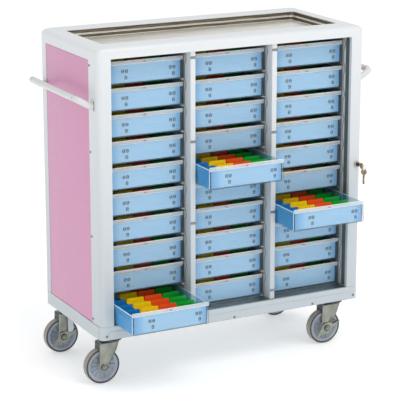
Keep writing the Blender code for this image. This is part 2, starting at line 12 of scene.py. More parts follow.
import bmesh
import bpy
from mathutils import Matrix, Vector

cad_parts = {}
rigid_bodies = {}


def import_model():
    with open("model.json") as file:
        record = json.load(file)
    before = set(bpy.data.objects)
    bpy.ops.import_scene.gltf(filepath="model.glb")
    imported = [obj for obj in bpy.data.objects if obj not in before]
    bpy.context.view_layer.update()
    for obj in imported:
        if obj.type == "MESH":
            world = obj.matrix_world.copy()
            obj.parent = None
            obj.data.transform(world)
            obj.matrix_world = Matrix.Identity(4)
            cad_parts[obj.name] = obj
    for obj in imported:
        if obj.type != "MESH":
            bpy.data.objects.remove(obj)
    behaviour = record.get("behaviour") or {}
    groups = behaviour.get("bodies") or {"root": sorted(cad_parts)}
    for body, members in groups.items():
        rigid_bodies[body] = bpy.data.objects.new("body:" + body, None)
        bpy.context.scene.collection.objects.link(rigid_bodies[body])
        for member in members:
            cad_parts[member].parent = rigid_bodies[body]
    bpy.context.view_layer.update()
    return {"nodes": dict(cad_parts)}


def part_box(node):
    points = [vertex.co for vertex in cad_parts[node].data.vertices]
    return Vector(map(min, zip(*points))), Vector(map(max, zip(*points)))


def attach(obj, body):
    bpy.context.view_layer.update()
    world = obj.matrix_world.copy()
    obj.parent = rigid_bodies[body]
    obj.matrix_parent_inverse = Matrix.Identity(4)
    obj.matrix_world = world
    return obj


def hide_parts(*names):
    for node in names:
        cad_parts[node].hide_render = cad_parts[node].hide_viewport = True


for thing in list(bpy.data.objects):
    bpy.data.objects.remove(thing, do_unlink=True)

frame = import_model()

# %% [markdown]
# ## Sizes read from the frame
# Every place in this file is worked out from the solids that are already there, so a piece made here fits
# its neighbours without any trying. The cart's own middle isn't at the origin, because three drawers stand
# open, so its front, back and middle are read first.

# %% Reading the cart's main sizes
post_low, post_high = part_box("front_left_post")
rear_low, rear_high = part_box("rear_left_post")
base_low, base_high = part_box("base_frame")
rim_low, rim_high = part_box("top_rim")
tray_low, tray_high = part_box("worktop_tray")
middle_low, middle_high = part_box("left_mid_post")

HALF_WIDTH = base_high.x
FRONT = base_low.y
BACK = base_high.y
MIDDLE_Y = (FRONT + BACK) / 2
HALF_DEPTH = (BACK - FRONT) / 2
BASE_UNDERSIDE = base_low.z
BASE_TOP = base_high.z
RIM_BOTTOM = rim_low.z
TOP = rim_high.z
OPENING_TOP = middle_high.z + 0.0003
OPENING_HALF = -post_high.x
FRONT_POST_DEPTH = post_high.y - post_low.y
REAR_POST_DEPTH = rear_high.y - rear_low.y
OUTER_ROUND = 0.018
TRAY_FLANGE = 0.012
TRAY_HALF_X = tray_high.x - TRAY_FLANGE
TRAY_HALF_Y = (tray_high.y - tray_low.y) / 2 - TRAY_FLANGE
print("frame", round(2 * HALF_WIDTH, 4), "wide,", round(BACK - FRONT, 4), "deep,", round(TOP, 4), "high")

# %% [markdown]
# ## The camera
# The cart is seen from its front left, from a little above the worktop, through a long lens. A long lens
# keeps the uprights almost parallel. The camera aims along a direction given by two angles: how far it is
# turned to the right of straight ahead, and how far it looks down.

# %% Placing the camera
camera_data = bpy.data.cameras.new("camera")
camera = bpy.data.objects.new("camera", camera_data)
bpy.context.scene.collection.objects.link(camera)
camera.location = (-2.7972, MIDDLE_Y - 5.3401, 2.1746)
turned_right = math.radians(27.56)
looking_down = math.radians(15.15)
camera.rotation_euler = (math.pi / 2 - looking_down, 0, -turned_right)
camera_data.sensor_width = 36.0
camera_data.lens = 36.0 * 4.4077
camera_data.dof.use_dof = False
bpy.context.scene.camera = camera
print("camera", round((camera.location - Vector((0, MIDDLE_Y, 0.6))).length, 2), "m from the cart")

# %% [markdown]
# ## Floor and light
# A product is lit with large, soft sources, so that painted steel shows gentle changes of tone and clear
# plastic shows clean bright edges. One wide light hangs above, a weaker one fills the left
# side, one more gives a slight shine from the front right, and a pale world lights whatever is left.
# The floor is a plain pale plane that glows a little, like the lit sweep of a studio.

# %% Floor, world and lights
scene = bpy.context.scene
scene.view_settings.view_transform = "Standard"


def add_light(name, place, aim, size, power, colour=(1, 1, 1)):
    """A large square light that points at a spot."""
    data = bpy.data.lights.new(name, "AREA")
    data.shape = "SQUARE"
    data.size = size
    data.energy = power
    data.color = colour
    light = bpy.data.objects.new(name, data)
    light.location = place
    light.rotation_euler = (Vector(aim) - Vector(place)).to_track_quat("-Z", "Y").to_euler()
    scene.collection.objects.link(light)
    return light


def plain_material(name, colour, roughness=0.5, metallic=0.0):
    material = bpy.data.materials.new(name)
    material.use_nodes = True
    shader = material.node_tree.nodes["Principled BSDF"]
    shader.inputs["Base Color"].default_value = (*colour, 1)
    shader.inputs["Roughness"].default_value = roughness
    shader.inputs["Metallic"].default_value = metallic
    return material


floor_mesh = bpy.data.meshes.new("floor")
floor_mesh.from_pydata([(-30, -30, 0), (30, -30, 0), (30, 30, 0), (-30, 30, 0)], [], [(0, 1, 2, 3)])
floor_finish = plain_material("pale_floor", (0.93, 0.93, 0.93), 0.9)
floor_shader = floor_finish.node_tree.nodes["Principled BSDF"]
floor_shader.inputs["Emission Color"].default_value = (1, 1, 1, 1)
floor_shader.inputs["Emission Strength"].default_value = 0.30
floor_mesh.materials.append(floor_finish)
floor = bpy.data.objects.new("floor", floor_mesh)
scene.collection.objects.link(floor)

world = bpy.data.worlds.new("pale_studio")
world.use_nodes = True
world.node_tree.nodes["Background"].inputs["Color"].default_value = (0.985, 0.992, 1.0, 1)
world.node_tree.nodes["Background"].inputs["Strength"].default_value = 0.78
scene.world = world

cart_middle = (0, MIDDLE_Y, 0.65)
add_light("overhead_key", (0.4, -2.6, 4.8), cart_middle, 2.6, 62, (1.0, 0.985, 0.96))
add_light("left_fill", (-4.2, -1.6, 1.9), cart_middle, 2.4, 6, (1.0, 0.97, 0.93))
add_light("front_right_fill", (3.2, -4.2, 2.4), cart_middle, 2.0, 14, (0.98, 0.99, 1.0))

# %% [markdown]
# ## Finishes: node helpers
# A finish is a small network of nodes. Noise gives the faint unevenness that every real surface has, and a
# bump node turns the same kind of noise into tiny hills. Three helpers keep the networks short: one adds a
# node, one adds noise in the object's own space, and one mixes two colours by a pattern.

# %% Node helpers
def new_finish(name, colour, roughness, metallic=0.0):
    """A material with its node tree and its shader, ready for patterns."""
    material = plain_material(name, colour, roughness, metallic)
    tree = material.node_tree
    return material, tree, tree.nodes["Principled BSDF"]


def add_noise(tree, scale, detail=4.0, stretch=(1, 1, 1)):
    """Noise in object space. A stretch above 1 squeezes the pattern along that axis."""
    coordinates = tree.nodes.new("ShaderNodeTexCoord")
    mapping = tree.nodes.new("ShaderNodeMapping")
    mapping.inputs["Scale"].default_value = stretch
    noise = tree.nodes.new("ShaderNodeTexNoise")
    noise.inputs["Scale"].default_value = scale
    noise.inputs["Detail"].default_value = detail
    tree.links.new(coordinates.outputs["Object"], mapping.inputs["Vector"])
    tree.links.new(mapping.outputs["Vector"], noise.inputs["Vector"])
    return noise.outputs["Fac"]


def add_range(tree, value, low, high, start=0.3, end=0.7):
    """Stretch a pattern's middle values to run from low to high."""
    ranger = tree.nodes.new("ShaderNodeMapRange")
    ranger.inputs["From Min"].default_value = start
    ranger.inputs["From Max"].default_value = end
    ranger.inputs["To Min"].default_value = low
    ranger.inputs["To Max"].default_value = high
    tree.links.new(value, ranger.inputs["Value"])
    return ranger.outputs["Result"]


def add_mix(tree, factor, first, second):
    """Mix two colours; either may be a colour or the output of another mix."""
    mix = tree.nodes.new("ShaderNodeMix")
    mix.data_type = "RGBA"
    tree.links.new(factor, mix.inputs["Factor"])
    for socket, colour in ((mix.inputs[6], first), (mix.inputs[7], second)):
        if isinstance(colour, tuple):
            socket.default_value = (*colour, 1)
        else:
            tree.links.new(colour, socket)
    return mix.outputs[2]


def add_bump(tree, shader, height, strength, distance):
    bump = tree.nodes.new("ShaderNodeBump")
    bump.inputs["Strength"].default_value = strength
    bump.inputs["Distance"].default_value = distance
    tree.links.new(height, bump.inputs["Height"])
    tree.links.new(bump.outputs["Normal"], shader.inputs["Normal"])


print("node helpers ready")

# %% [markdown]
# ## Painted steel
# Powder coat is baked plastic dust. Up close it has a fine orange peel and it is a little glossier on the
# crowns than in the dips. Down the cart its colour also turns darker and cooler, painted shade for the
# dimmer light near the floor. The same builder makes the white frame, the pink sides and the grey
# handles, so the three finishes belong together.

# %% Powder coats
def powder_coat(name, colour, floor_shade_colour, roughness):
    """Baked paint: orange peel in the surface, and painted shade that turns it darker and cooler towards the
    floor.
    """
    material, tree, shader = new_finish(name, colour, roughness)
    coordinates = tree.nodes.new("ShaderNodeTexCoord")
    split = tree.nodes.new("ShaderNodeSeparateXYZ")
    tree.links.new(coordinates.outputs["Object"], split.inputs["Vector"])
    # Painted shade: the colour runs from the darker low colour at the floor to the full colour at the top.
    height = add_range(tree, split.outputs["Z"], 0.0, 1.0, BASE_UNDERSIDE, TOP)
    body = add_mix(tree, height, floor_shade_colour, colour)
    patches = add_range(tree, add_noise(tree, 3.0, 3.0), 0.0, 1.0)
    worn = add_mix(tree, height, tuple(c * 0.985 for c in floor_shade_colour), tuple(c * 0.985 for c in colour))
    tint = add_mix(tree, patches, worn, body)
    tree.links.new(tint, shader.inputs["Base Color"])
    tree.links.new(add_range(tree, add_noise(tree, 60.0), roughness - 0.05, roughness + 0.06),
                   shader.inputs["Roughness"])
    add_bump(tree, shader, add_noise(tree, 420.0, 2.0), 0.10, 0.0006)
    shader.inputs["Coat Weight"].default_value = 0.25
    shader.inputs["Coat Roughness"].default_value = 0.18
    return material


white_paint = powder_coat("white_powder_coat", (0.745, 0.768, 0.785), (0.500, 0.558, 0.590), 0.38)
pink_paint = powder_coat("pink_powder_coat", (0.640, 0.290, 0.465), (0.620, 0.278, 0.448), 0.46)
# The handles' grey is darker than the frame's white: partly the tube's own tone, partly painted shade.
grey_paint = powder_coat("grey_powder_coat", (0.680, 0.705, 0.690), (0.640, 0.665, 0.655), 0.36)
print("three powder coats")

# %% [markdown]
# ## Bare metals
# The tray is stainless sheet, brushed along its length: long thin streaks in its gloss and in its surface.
# Its upright walls are coloured much darker and browner than the flat floor, a painted reflection and shade of
# the dark room mirrored in the steel, so the finish looks at which way a face points. Zinc plate has a soft,
# cloudy, slightly yellow bloom. Brass and nickel are plain metals with fine wear.

# %% Stainless, zinc, brass, nickel and black steel
def brushed_stainless():
    material, tree, shader = new_finish("brushed_stainless", (0.62, 0.59, 0.53), 0.30, 0.72)
    streaks = add_noise(tree, 30.0, 6.0, (0.35, 14.0, 22.0))
    geometry = tree.nodes.new("ShaderNodeNewGeometry")
    split = tree.nodes.new("ShaderNodeSeparateXYZ")
    tree.links.new(geometry.outputs["Normal"], split.inputs["Vector"])
    level = add_range(tree, split.outputs["Z"], 0.0, 1.0, 0.3, 0.8)
    # Painted reflection and shade: faces that lean away from up get a near-black brown, the dark room mirrored in
    # the walls.
    walls = add_mix(tree, add_range(tree, streaks, 0, 1, 0.38, 0.62), (0.060, 0.047, 0.030),
                    (0.24, 0.205, 0.150))
    floor_tone = add_mix(tree, add_range(tree, streaks, 0, 1), (0.80, 0.775, 0.70), (0.93, 0.91, 0.86))
    tree.links.new(add_mix(tree, level, walls, floor_tone), shader.inputs["Base Color"])
    tree.links.new(add_range(tree, streaks, 0.22, 0.40), shader.inputs["Roughness"])
    add_bump(tree, shader, streaks, 0.12, 0.0004)
    return material


def plated(name, light, dark, roughness, cloud_scale=22.0):
    """Plated steel with a cloudy bloom and light wear."""
    material, tree, shader = new_finish(name, light, roughness, 1.0)
    clouds = add_noise(tree, cloud_scale, 5.0)
    tree.links.new(add_mix(tree, add_range(tree, clouds, 0, 1), dark, light), shader.inputs["Base Color"])
    tree.links.new(add_range(tree, clouds, roughness - 0.08, roughness + 0.10), shader.inputs["Roughness"])
    add_bump(tree, shader, add_noise(tree, 260.0, 3.0), 0.08, 0.0004)
    return material


stainless = brushed_stainless()
zinc = plated("zinc_plate", (0.375, 0.385, 0.335), (0.225, 0.235, 0.205), 0.38)
# Painted shade: the mounting plate, swivel head and crown sheet sit in the shadow under the base, so they are
# coloured near black.
plate_in_painted_shade = plated("plate_in_painted_shade", (0.125, 0.145, 0.165), (0.060, 0.070, 0.085), 0.48)
grey_steel = plated("grey_steel", (0.34, 0.35, 0.34), (0.20, 0.21, 0.205), 0.42, 60.0)
brass = plated("worn_brass", (0.50, 0.41, 0.24), (0.27, 0.21, 0.12), 0.34, 90.0)
nickel = plated("dull_nickel", (0.60, 0.58, 0.53), (0.42, 0.40, 0.36), 0.36, 90.0)
black_steel = plated("black_steel", (0.050, 0.050, 0.055), (0.025, 0.025, 0.030), 0.50, 60.0)
print("seven metals")

# %% [markdown]
# ## Plastics, card and rubber
# Clear plastic is hard to make with true glass when thirty drawers stand behind each other, and it isn't
# needed: a thin clear wall is nearly invisible face on and turns bright where it is seen edge on. So its
# see-through share comes from a Layer Weight node, which knows how far a surface leans away. Moulded edges
# are given a milkier finish. Where an edge looks into the dark bay it is coloured near black instead, as
# painted shade. The dividers are solid colour with a pebbled face.

# %% Clear plastics
def clear_plastic(name, colour, face_on, edge_on, roughness):
    """Clear moulding: share of the surface that is seen, face on and edge on."""
    material, tree, shader = new_finish(name, colour, roughness)
    lean = tree.nodes.new("ShaderNodeLayerWeight")
    lean.inputs["Blend"].default_value = 0.35
    tree.links.new(add_range(tree, lean.outputs["Facing"], face_on, edge_on, 0.15, 0.95),
                   shader.inputs["Alpha"])
    tree.links.new(add_range(tree, add_noise(tree, 40.0), roughness * 0.7, roughness * 1.4),
                   shader.inputs["Roughness"])
    add_bump(tree, shader, add_noise(tree, 24.0, 2.0), 0.12, 0.0008)
    shader.inputs["Specular IOR Level"].default_value = 0.6
    return material


clear_wall = clear_plastic("clear_drawer_wall", (0.16, 0.56, 0.88), 0.20, 0.40, 0.08)
clear_front = clear_plastic("clear_drawer_front", (0.74, 0.87, 0.96), 0.04, 0.40, 0.07)
clear_lip = clear_plastic("clear_drawer_lip", (0.82, 0.90, 0.96), 0.38, 0.74, 0.06)
milky_edge = clear_plastic("milky_drawer_edge", (0.88, 0.93, 0.96), 0.72, 0.92, 0.12)
# Painted shade: a near-black edge finish for the edges that look into the dark bay.
painted_shade_edge = clear_plastic("painted_shade_drawer_edge", (0.030, 0.045, 0.065), 0.86, 0.96, 0.20)
# Painted shade: the drawer floor is a dark teal, the dim blue-lit inside of a drawer.
drawer_floor_shade = clear_plastic("painted_shade_drawer_floor", (0.02, 0.20, 0.34), 0.45, 0.92, 0.25)
print("six clear finishes")

# %% Solid plastics, card, ink and rubber
def moulded(name, colour, roughness, pebble=0.20, pebble_scale=170.0, wear=0.93):
    """Coloured moulding with a pebbled face."""
    material, tree, shader = new_finish(name, colour, roughness)
    patches = add_range(tree, add_noise(tree, 18.0), 0, 1)
    worn = tuple(c * wear for c in colour)
    tree.links.new(add_mix(tree, patches, worn, colour), shader.inputs["Base Color"])
    tree.links.new(add_range(tree, add_noise(tree, 90.0), roughness - 0.06, roughness + 0.08),
                   shader.inputs["Roughness"])
    add_bump(tree, shader, add_noise(tree, pebble_scale, 3.0), pebble, 0.0012)
    return material


def printed_card():
    """Light blue card with paper fibre, darker and deeper blue towards its two ends as painted shade from the
    drawer's side walls.
    """
    material, tree, shader = new_finish("light_blue_card", (0.40, 0.64, 0.84), 0.55)
    coordinates = tree.nodes.new("ShaderNodeTexCoord")
    split = tree.nodes.new("ShaderNodeSeparateXYZ")
    tree.links.new(coordinates.outputs["Generated"], split.inputs["Vector"])
    left = add_range(tree, split.outputs["X"], 1.0, 0.0, 0.0, 0.16)
    right = add_range(tree, split.outputs["X"], 0.0, 0.8, 0.88, 1.0)
    ends = tree.nodes.new("ShaderNodeMath")
    ends.operation = "MAXIMUM"
    tree.links.new(left, ends.inputs[0])
    tree.links.new(right, ends.inputs[1])
    fibre = add_range(tree, add_noise(tree, 12.0, 6.0, (1, 1, 18)), 0, 1)
    paper = add_mix(tree, fibre, (0.315, 0.550, 0.765), (0.375, 0.610, 0.810))
    tree.links.new(add_mix(tree, ends.outputs[0], paper, (0.115, 0.370, 0.690)), shader.inputs["Base Color"])
    add_bump(tree, shader, add_noise(tree, 500.0), 0.06, 0.0004)
    return material


card_finish = printed_card()
ink = moulded("dark_print", (0.050, 0.038, 0.040), 0.6, 0.05)
catch_red = moulded("dark_red_catch", (0.22, 0.008, 0.008), 0.4, 0.05)
DIVIDER_FINISHES = {
    "blue": moulded("blue_divider", (0.008, 0.225, 0.590), 0.34),
    "yellow": moulded("yellow_divider", (1.000, 0.730, 0.004), 0.34),
    "orange": moulded("orange_divider", (0.950, 0.110, 0.014), 0.34),
    "green": moulded("green_divider", (0.004, 0.440, 0.040), 0.34),
}
# Painted shade: the outer runner plastic is coloured darker than its own grey, for the dim inside of the bay.
shaded_runner_plastic = moulded("runner_plastic_in_shade", (0.17, 0.20, 0.22), 0.42, 0.10)
tyre_rubber = moulded("grey_tyre_rubber", (0.360, 0.335, 0.295), 0.62, 0.30, 300.0, 0.80)
tyre_edge = moulded("dark_tyre_edge", (0.060, 0.062, 0.060), 0.60, 0.20, 300.0)
pedal_white = moulded("pale_pedal_sleeve", (0.62, 0.68, 0.74), 0.35, 0.08)
wheel_grey = moulded("grey_wheel_disc", (0.400, 0.450, 0.520), 0.36, 0.45, 120.0, 0.62)
guide_pale = moulded("pale_guide", (0.50, 0.54, 0.56), 0.38, 0.08)
# Painted light: the middle runner walls are coloured pale, like the lit posts in front of them.
lit_runner_plastic = moulded("runner_wall_in_light", (0.56, 0.60, 0.62), 0.40, 0.08)
# Near black: the guides' own dark edge, and painted shade on the inside of the front posts.
dark_edge_and_shade = moulded("dark_guide_edge_and_post_shade", (0.090, 0.105, 0.100), 0.5, 0.10)
print("card, print, four divider colours, runner, tyre, disc and liner")

# %% [markdown]
# ## Mesh helpers
# Most parts here are outlines that were folded, pressed, turned or moulded, so a few helpers draw them all.
# `skin` joins a row of equal loops with quads, `turned` spins a profile, and `add_piece` links a finished
# mesh into the scene, gives it its finish, hangs it on the body that carries it and hides the solids it
# stands for. A narrow Bevel modifier then rounds the sharp corners, as a press brake or a mould does.

# %% Mesh helpers
def arc(centre, radius, start, end, steps):
    points = []
    for i in range(steps + 1):
        angle = math.radians(start + (end - start) * i / steps)
        points.append((centre[0] + radius * math.cos(angle), centre[1] + radius * math.sin(angle)))
    return points


def rounded_rectangle(x0, y0, x1, y1, radius, steps=6):
    """Corner points of a rectangle with round corners, anticlockwise from its lower right."""
    points = []
    for right, upper, start in ((1, 0, -90), (1, 1, 0), (0, 1, 90), (0, 0, 180)):
        centre = (x1 - radius if right else x0 + radius, y1 - radius if upper else y0 + radius)
        points += arc(centre, radius, start, start + 90, steps)
    return points


def at_height(outline, z):
    return [(x, y, z) for x, y in outline]


def at_depth(outline, y):
    return [(x, y, z) for x, z in outline]


def at_side(outline, x):
    return [(x, y, z) for y, z in outline]


def skin(bm, loops, closed=False, finish=0):
    """Quads between neighbouring loops; the first and last are capped unless the skin closes on itself."""
    rings = [[bm.verts.new(point) for point in loop] for loop in loops]
    pairs = list(zip(rings, rings[1:]))
    faces = []
    if closed:
        pairs.append((rings[-1], rings[0]))
    else:
        faces += [bm.faces.new(rings[0]), bm.faces.new(rings[-1])]
    for lower, upper in pairs:
        for i in range(len(lower)):
            j = (i + 1) % len(lower)
            faces.append(bm.faces.new((lower[i], lower[j], upper[j], upper[i])))
    for face in faces:
        face.material_index = finish
    return faces


def box(bm, low, high, finish=0):
    outline = [(low[0], low[1]), (high[0], low[1]), (high[0], high[1]), (low[0], high[1])]
    return skin(bm, [at_height(outline, low[2]), at_height(outline, high[2])], finish=finish)


def turned(profile, axis="Y", steps=40, centre=(0, 0, 0)):
    """Loops of a profile of (radius, place along the axis) pairs, spun about an axis."""
    loops = []
    for radius, along in profile:
        ring = []
        for i in range(steps):
            angle = 2 * math.pi * i / steps
            a = radius * math.cos(angle)
            b = radius * math.sin(angle)
            point = {"Y": (a, along, b), "Z": (a, b, along), "X": (along, a, b)}[axis]
            ring.append(tuple(c + p for c, p in zip(centre, point)))
        loops.append(ring)
    return loops


def mesh_of(name, build):
    """Run a bmesh builder, point its faces outward and shade it smooth up to 35 degrees."""
    bm = bmesh.new()
    build(bm)
    bmesh.ops.recalc_face_normals(bm, faces=bm.faces)
    mesh = bpy.data.meshes.new(name)
    bm.to_mesh(mesh)
    bm.free()
    mesh.shade_smooth()
    mesh.set_sharp_from_angle(angle=math.radians(35))
    return mesh


def add_piece(name, mesh, finishes, body, replaces=(), place=(0, 0, 0), bevel=0.0, segments=2):
    """Link a piece, dress it, round its corners and tie it to the frame."""
    piece = bpy.data.objects.new(name, mesh)
    piece.location = place
    if not mesh.materials:
        for finish in finishes:
            mesh.materials.append(finish)
    scene.collection.objects.link(piece)
    if bevel:
        rounder = piece.modifiers.new("round_corners", "BEVEL")
        rounder.width = bevel
        rounder.segments = segments
        rounder.limit_method = "ANGLE"
        rounder.angle_limit = math.radians(38)
        rounder.harden_normals = True
    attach(piece, body)
    if replaces:
        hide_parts(*replaces)
    return piece


def cut_from(mesh, builders):
    """Cut several shapes out of a mesh and give back the mesh that is left."""
    block = bpy.data.objects.new("block", mesh)
    scene.collection.objects.link(block)
    tools = []
    for build in builders:
        tool = bpy.data.objects.new("tool", mesh_of("tool", build))
        scene.collection.objects.link(tool)
        modifier = block.modifiers.new("cut", "BOOLEAN")
        modifier.object = tool
        modifier.operation = "DIFFERENCE"
        modifier.solver = "EXACT"
        tools.append(tool)
    evaluated = block.evaluated_get(bpy.context.evaluated_depsgraph_get())
    result = bpy.data.meshes.new_from_object(evaluated)
    result.shade_smooth()
    result.set_sharp_from_angle(angle=math.radians(35))
    for helper in tools + [block]:
        bpy.data.objects.remove(helper, do_unlink=True)
    return result


print("mesh helpers ready")

# %% [markdown]
# ## The welded frame
# On the real cart the posts and the top rim are welded and ground before painting, so no seam shows at the
# front: the round of an upright edge runs on into the round of the top. It could be built from six tubes, but
# then every weld would have to be blended. It is quicker to shape one rounded block and cut the openings out
# of it, which leaves the same continuous corners.

# %% Posts and top rim in one welded piece
def frame_block(bm):
    """The outside of the frame: round upright edges, and a round along the top, wider at the sides."""
    side_round = 0.022
    front_round = 0.015
    drop = 0.017
    low = BASE_TOP + 0.0004
    outline = rounded_rectangle(-HALF_WIDTH, FRONT, HALF_WIDTH, BACK, OUTER_ROUND, 10)
    loops = [at_height(outline, low)]
    for step in range(10):
        turn = math.radians(90 * step / 9)
        in_x = side_round * (1 - math.cos(turn))
        in_y = front_round * (1 - math.cos(turn))
        outline = rounded_rectangle(-HALF_WIDTH + in_x, FRONT + in_y, HALF_WIDTH - in_x, BACK - in_y,
                                    OUTER_ROUND, 10)
        loops.append(at_height(outline, TOP - drop * (1 - math.sin(turn))))
    skin(bm, loops)


def drawer_bay(bm):
    box(bm, (-OPENING_HALF, FRONT - 0.05, 0), (OPENING_HALF, BACK + 0.05, OPENING_TOP))


def side_windows(bm):
    low_y = FRONT + FRONT_POST_DEPTH
    high_y = BACK - REAR_POST_DEPTH
    box(bm, (-HALF_WIDTH - 0.05, low_y, 0), (HALF_WIDTH + 0.05, high_y, RIM_BOTTOM))


def worktop_hole(bm):
    outline = rounded_rectangle(-TRAY_HALF_X, MIDDLE_Y - TRAY_HALF_Y, TRAY_HALF_X, MIDDLE_Y + TRAY_HALF_Y,
                                0.012)
    skin(bm, [at_height(outline, OPENING_TOP - 0.05), at_height(outline, TOP + 0.05)])


frame_mesh = cut_from(mesh_of("welded_frame", frame_block), [drawer_bay, side_windows, worktop_hole])
add_piece("welded_frame", frame_mesh, [white_paint], "cart",
          ["front_left_post", "front_right_post", "rear_left_post", "rear_right_post",
           "top_rim"],
          bevel=0.0008)
print("welded frame:", len(frame_mesh.polygons), "faces before its corners are rounded")

# %% [markdown]
# ## The base
# The base is a folded pan, open below. A raised cover strip runs along its front, and a corner plate wraps
# the foot of each front post on the cart's side. Both are thin sheet that stands a little proud,
# which is what gives the bottom rail its fine lines.

# %% Base pan, front strip and corner plates
def base_block(bm):
    outline = rounded_rectangle(-HALF_WIDTH, FRONT, HALF_WIDTH, BACK, OUTER_ROUND, 10)
    skin(bm, [at_height(outline, BASE_UNDERSIDE), at_height(outline, BASE_TOP)])


def pan_hollow(bm):
    """The pan's inside, a cross, so that a solid corner stays over each caster."""
    plate = 0.135
    lip = 0.006
    top = BASE_TOP - 0.004
    low = BASE_UNDERSIDE - 0.02
    corner_x = HALF_WIDTH - plate
    corner_y = HALF_DEPTH - plate
    quarter = [(corner_x, HALF_DEPTH - lip), (corner_x, corner_y), (HALF_WIDTH - lip, corner_y)]
    cross = [(-x, -y) for x, y in quarter[::-1]] + [(x, -y) for x, y in quarter]
    cross += quarter[::-1] + [(-x, y) for x, y in quarter]
    cross = [(x, y + MIDDLE_Y) for x, y in cross]
    skin(bm, [at_height(cross, low), at_height(cross, top)])


base_mesh = cut_from(mesh_of("base_pan", base_block), [pan_hollow])
add_piece("base_pan", base_mesh, [white_paint], "cart", ["base_frame"], bevel=0.0008)

PROUD = 0.0016


def front_strip(bm):
    outline = rounded_rectangle(-HALF_WIDTH + 0.026, BASE_UNDERSIDE + 0.003, HALF_WIDTH - 0.026, 0.1985,
                                0.010)
    skin(bm, [at_depth(outline, FRONT - PROUD), at_depth(outline, FRONT + 0.001)])


add_piece("front_cover_strip", mesh_of("front_cover_strip", front_strip), [white_paint], "cart",
          bevel=0.0006)
for side, side_name in ((-1, "left"), (1, "right")):
    inner = side * (HALF_WIDTH - 0.001)
    outer = side * (HALF_WIDTH + PROUD)

    def corner_plate(bm):
        outline = rounded_rectangle(FRONT + 0.020, BASE_UNDERSIDE + 0.001, FRONT + 0.172, BASE_TOP - 0.001,
                                    0.003)
        skin(bm, [at_side(outline, inner), at_side(outline, outer)])

    add_piece(side_name + "_corner_plate", mesh_of("corner_plate", corner_plate), [white_paint], "cart",
              bevel=0.0006)
print("base pan, front strip and two corner plates")

# %% [markdown]
# ## Side and back panels
# Each side is closed by one painted sheet with its edges folded inward. A folded edge has a small radius, and
# that radius is what makes the thin bright line between panel and post.

# %% Folded panels and the two uprights between the drawers
FOLD_RADIUS = 0.0025
SHEET = 0.0012


def folded_panel(low, high, axis, outward):
    """A sheet whose four edges turn back through a small radius: axis 0 faces the side, axis 1 the back."""
    face = high[axis] if outward > 0 else low[axis]
    depth = high[axis] - low[axis]
    across = 1 - axis
    place = at_side if axis == 0 else at_depth

    def ring(inset, back):
        outline = rounded_rectangle(low[across] + inset, low.z + inset, high[across] - inset,
                                    high.z - inset, 0.004, 4)
        return place(outline, face - outward * back)

    def build(bm):
        loops = []
        for step in range(5):
            turn = math.radians(90 * step / 4)
            loops.append(ring(FOLD_RADIUS * (1 - math.sin(turn)), FOLD_RADIUS * (1 - math.cos(turn))))
        outside = loops + [ring(0, depth - 0.0001)]
        inside = [ring(SHEET, depth - 0.0001), ring(SHEET, FOLD_RADIUS), ring(FOLD_RADIUS, SHEET)]
        skin(bm, outside + inside)
    return mesh_of("folded_panel", build)


def folded_upright(low, high):
    """A narrow box section folded from sheet: round upright corners and a hollow inside."""
    outer = rounded_rectangle(low.x, low.y, high.x, high.y, 0.0022, 4)
    inner = rounded_rectangle(low.x + SHEET, low.y + SHEET, high.x - SHEET, high.y - SHEET, 0.0012, 4)

    def build(bm):
        skin(bm, [at_height(outer, low.z), at_height(outer, high.z), at_height(inner, high.z),
                  at_height(inner, low.z)],
             closed=True)
    return mesh_of("folded_upright", build)


for node, finish, shadow_slot, axis, outward in (("left_side_panel", pink_paint, "pink_paint", 0, -1),
                                          ("right_side_panel", pink_paint, "pink_paint", 0, 1),
                                          ("back_panel", white_paint, "white_paint", 1, 1)):
    low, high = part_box(node)
    add_piece(node + "_sheet", folded_panel(low, high, axis, outward), [finish], "cart", [node])
for node in ("left_mid_post", "right_mid_post"):
    low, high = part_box(node)
    add_piece(node + "_tube", folded_upright(low, high), [white_paint], "cart", [node])
print("three folded panels and two mid posts")

# %% [markdown]
# The drawers slide between moulded guides. Beside each column a thin guide lies flat on the upright and
# bulges forward at the top corner of every drawer, so its edge makes a wavy line. A near-black sheet on the
# inside of each front post is painted shade for its shadowed recess, and a bare steel sill lies under the
# lowest drawers.

# %% Wavy guides, painted shade on the front posts, and sill
DRAWER_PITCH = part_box("drawer_r01_c1")[0].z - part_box("drawer_r02_c1")[0].z
TOP_DRAWER_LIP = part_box("drawer_r01_c1")[1].z
DRAWER_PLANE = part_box("drawer_r01_c1")[0].y


def guide_outline(margin):
    """Outline in the YZ plane: straight at the back, wavy at the front."""
    points = []
    steps_each = 16
    low = BASE_TOP + 0.004 + margin
    high = OPENING_TOP - 0.004 - margin
    count = 10 * steps_each
    for step in range(count + 1):
        z = low + (high - low) * step / count
        phase = ((z - TOP_DRAWER_LIP + 0.010) / DRAWER_PITCH) * 2 * math.pi
        bulge = 0.0110 * max(0.5 + 0.5 * math.cos(phase), 0.0) ** 3
        points.append((DRAWER_PLANE - 0.0060 - bulge + margin, z))
    return points + [(DRAWER_PLANE - 0.0008, high), (DRAWER_PLANE - 0.0008, low)]


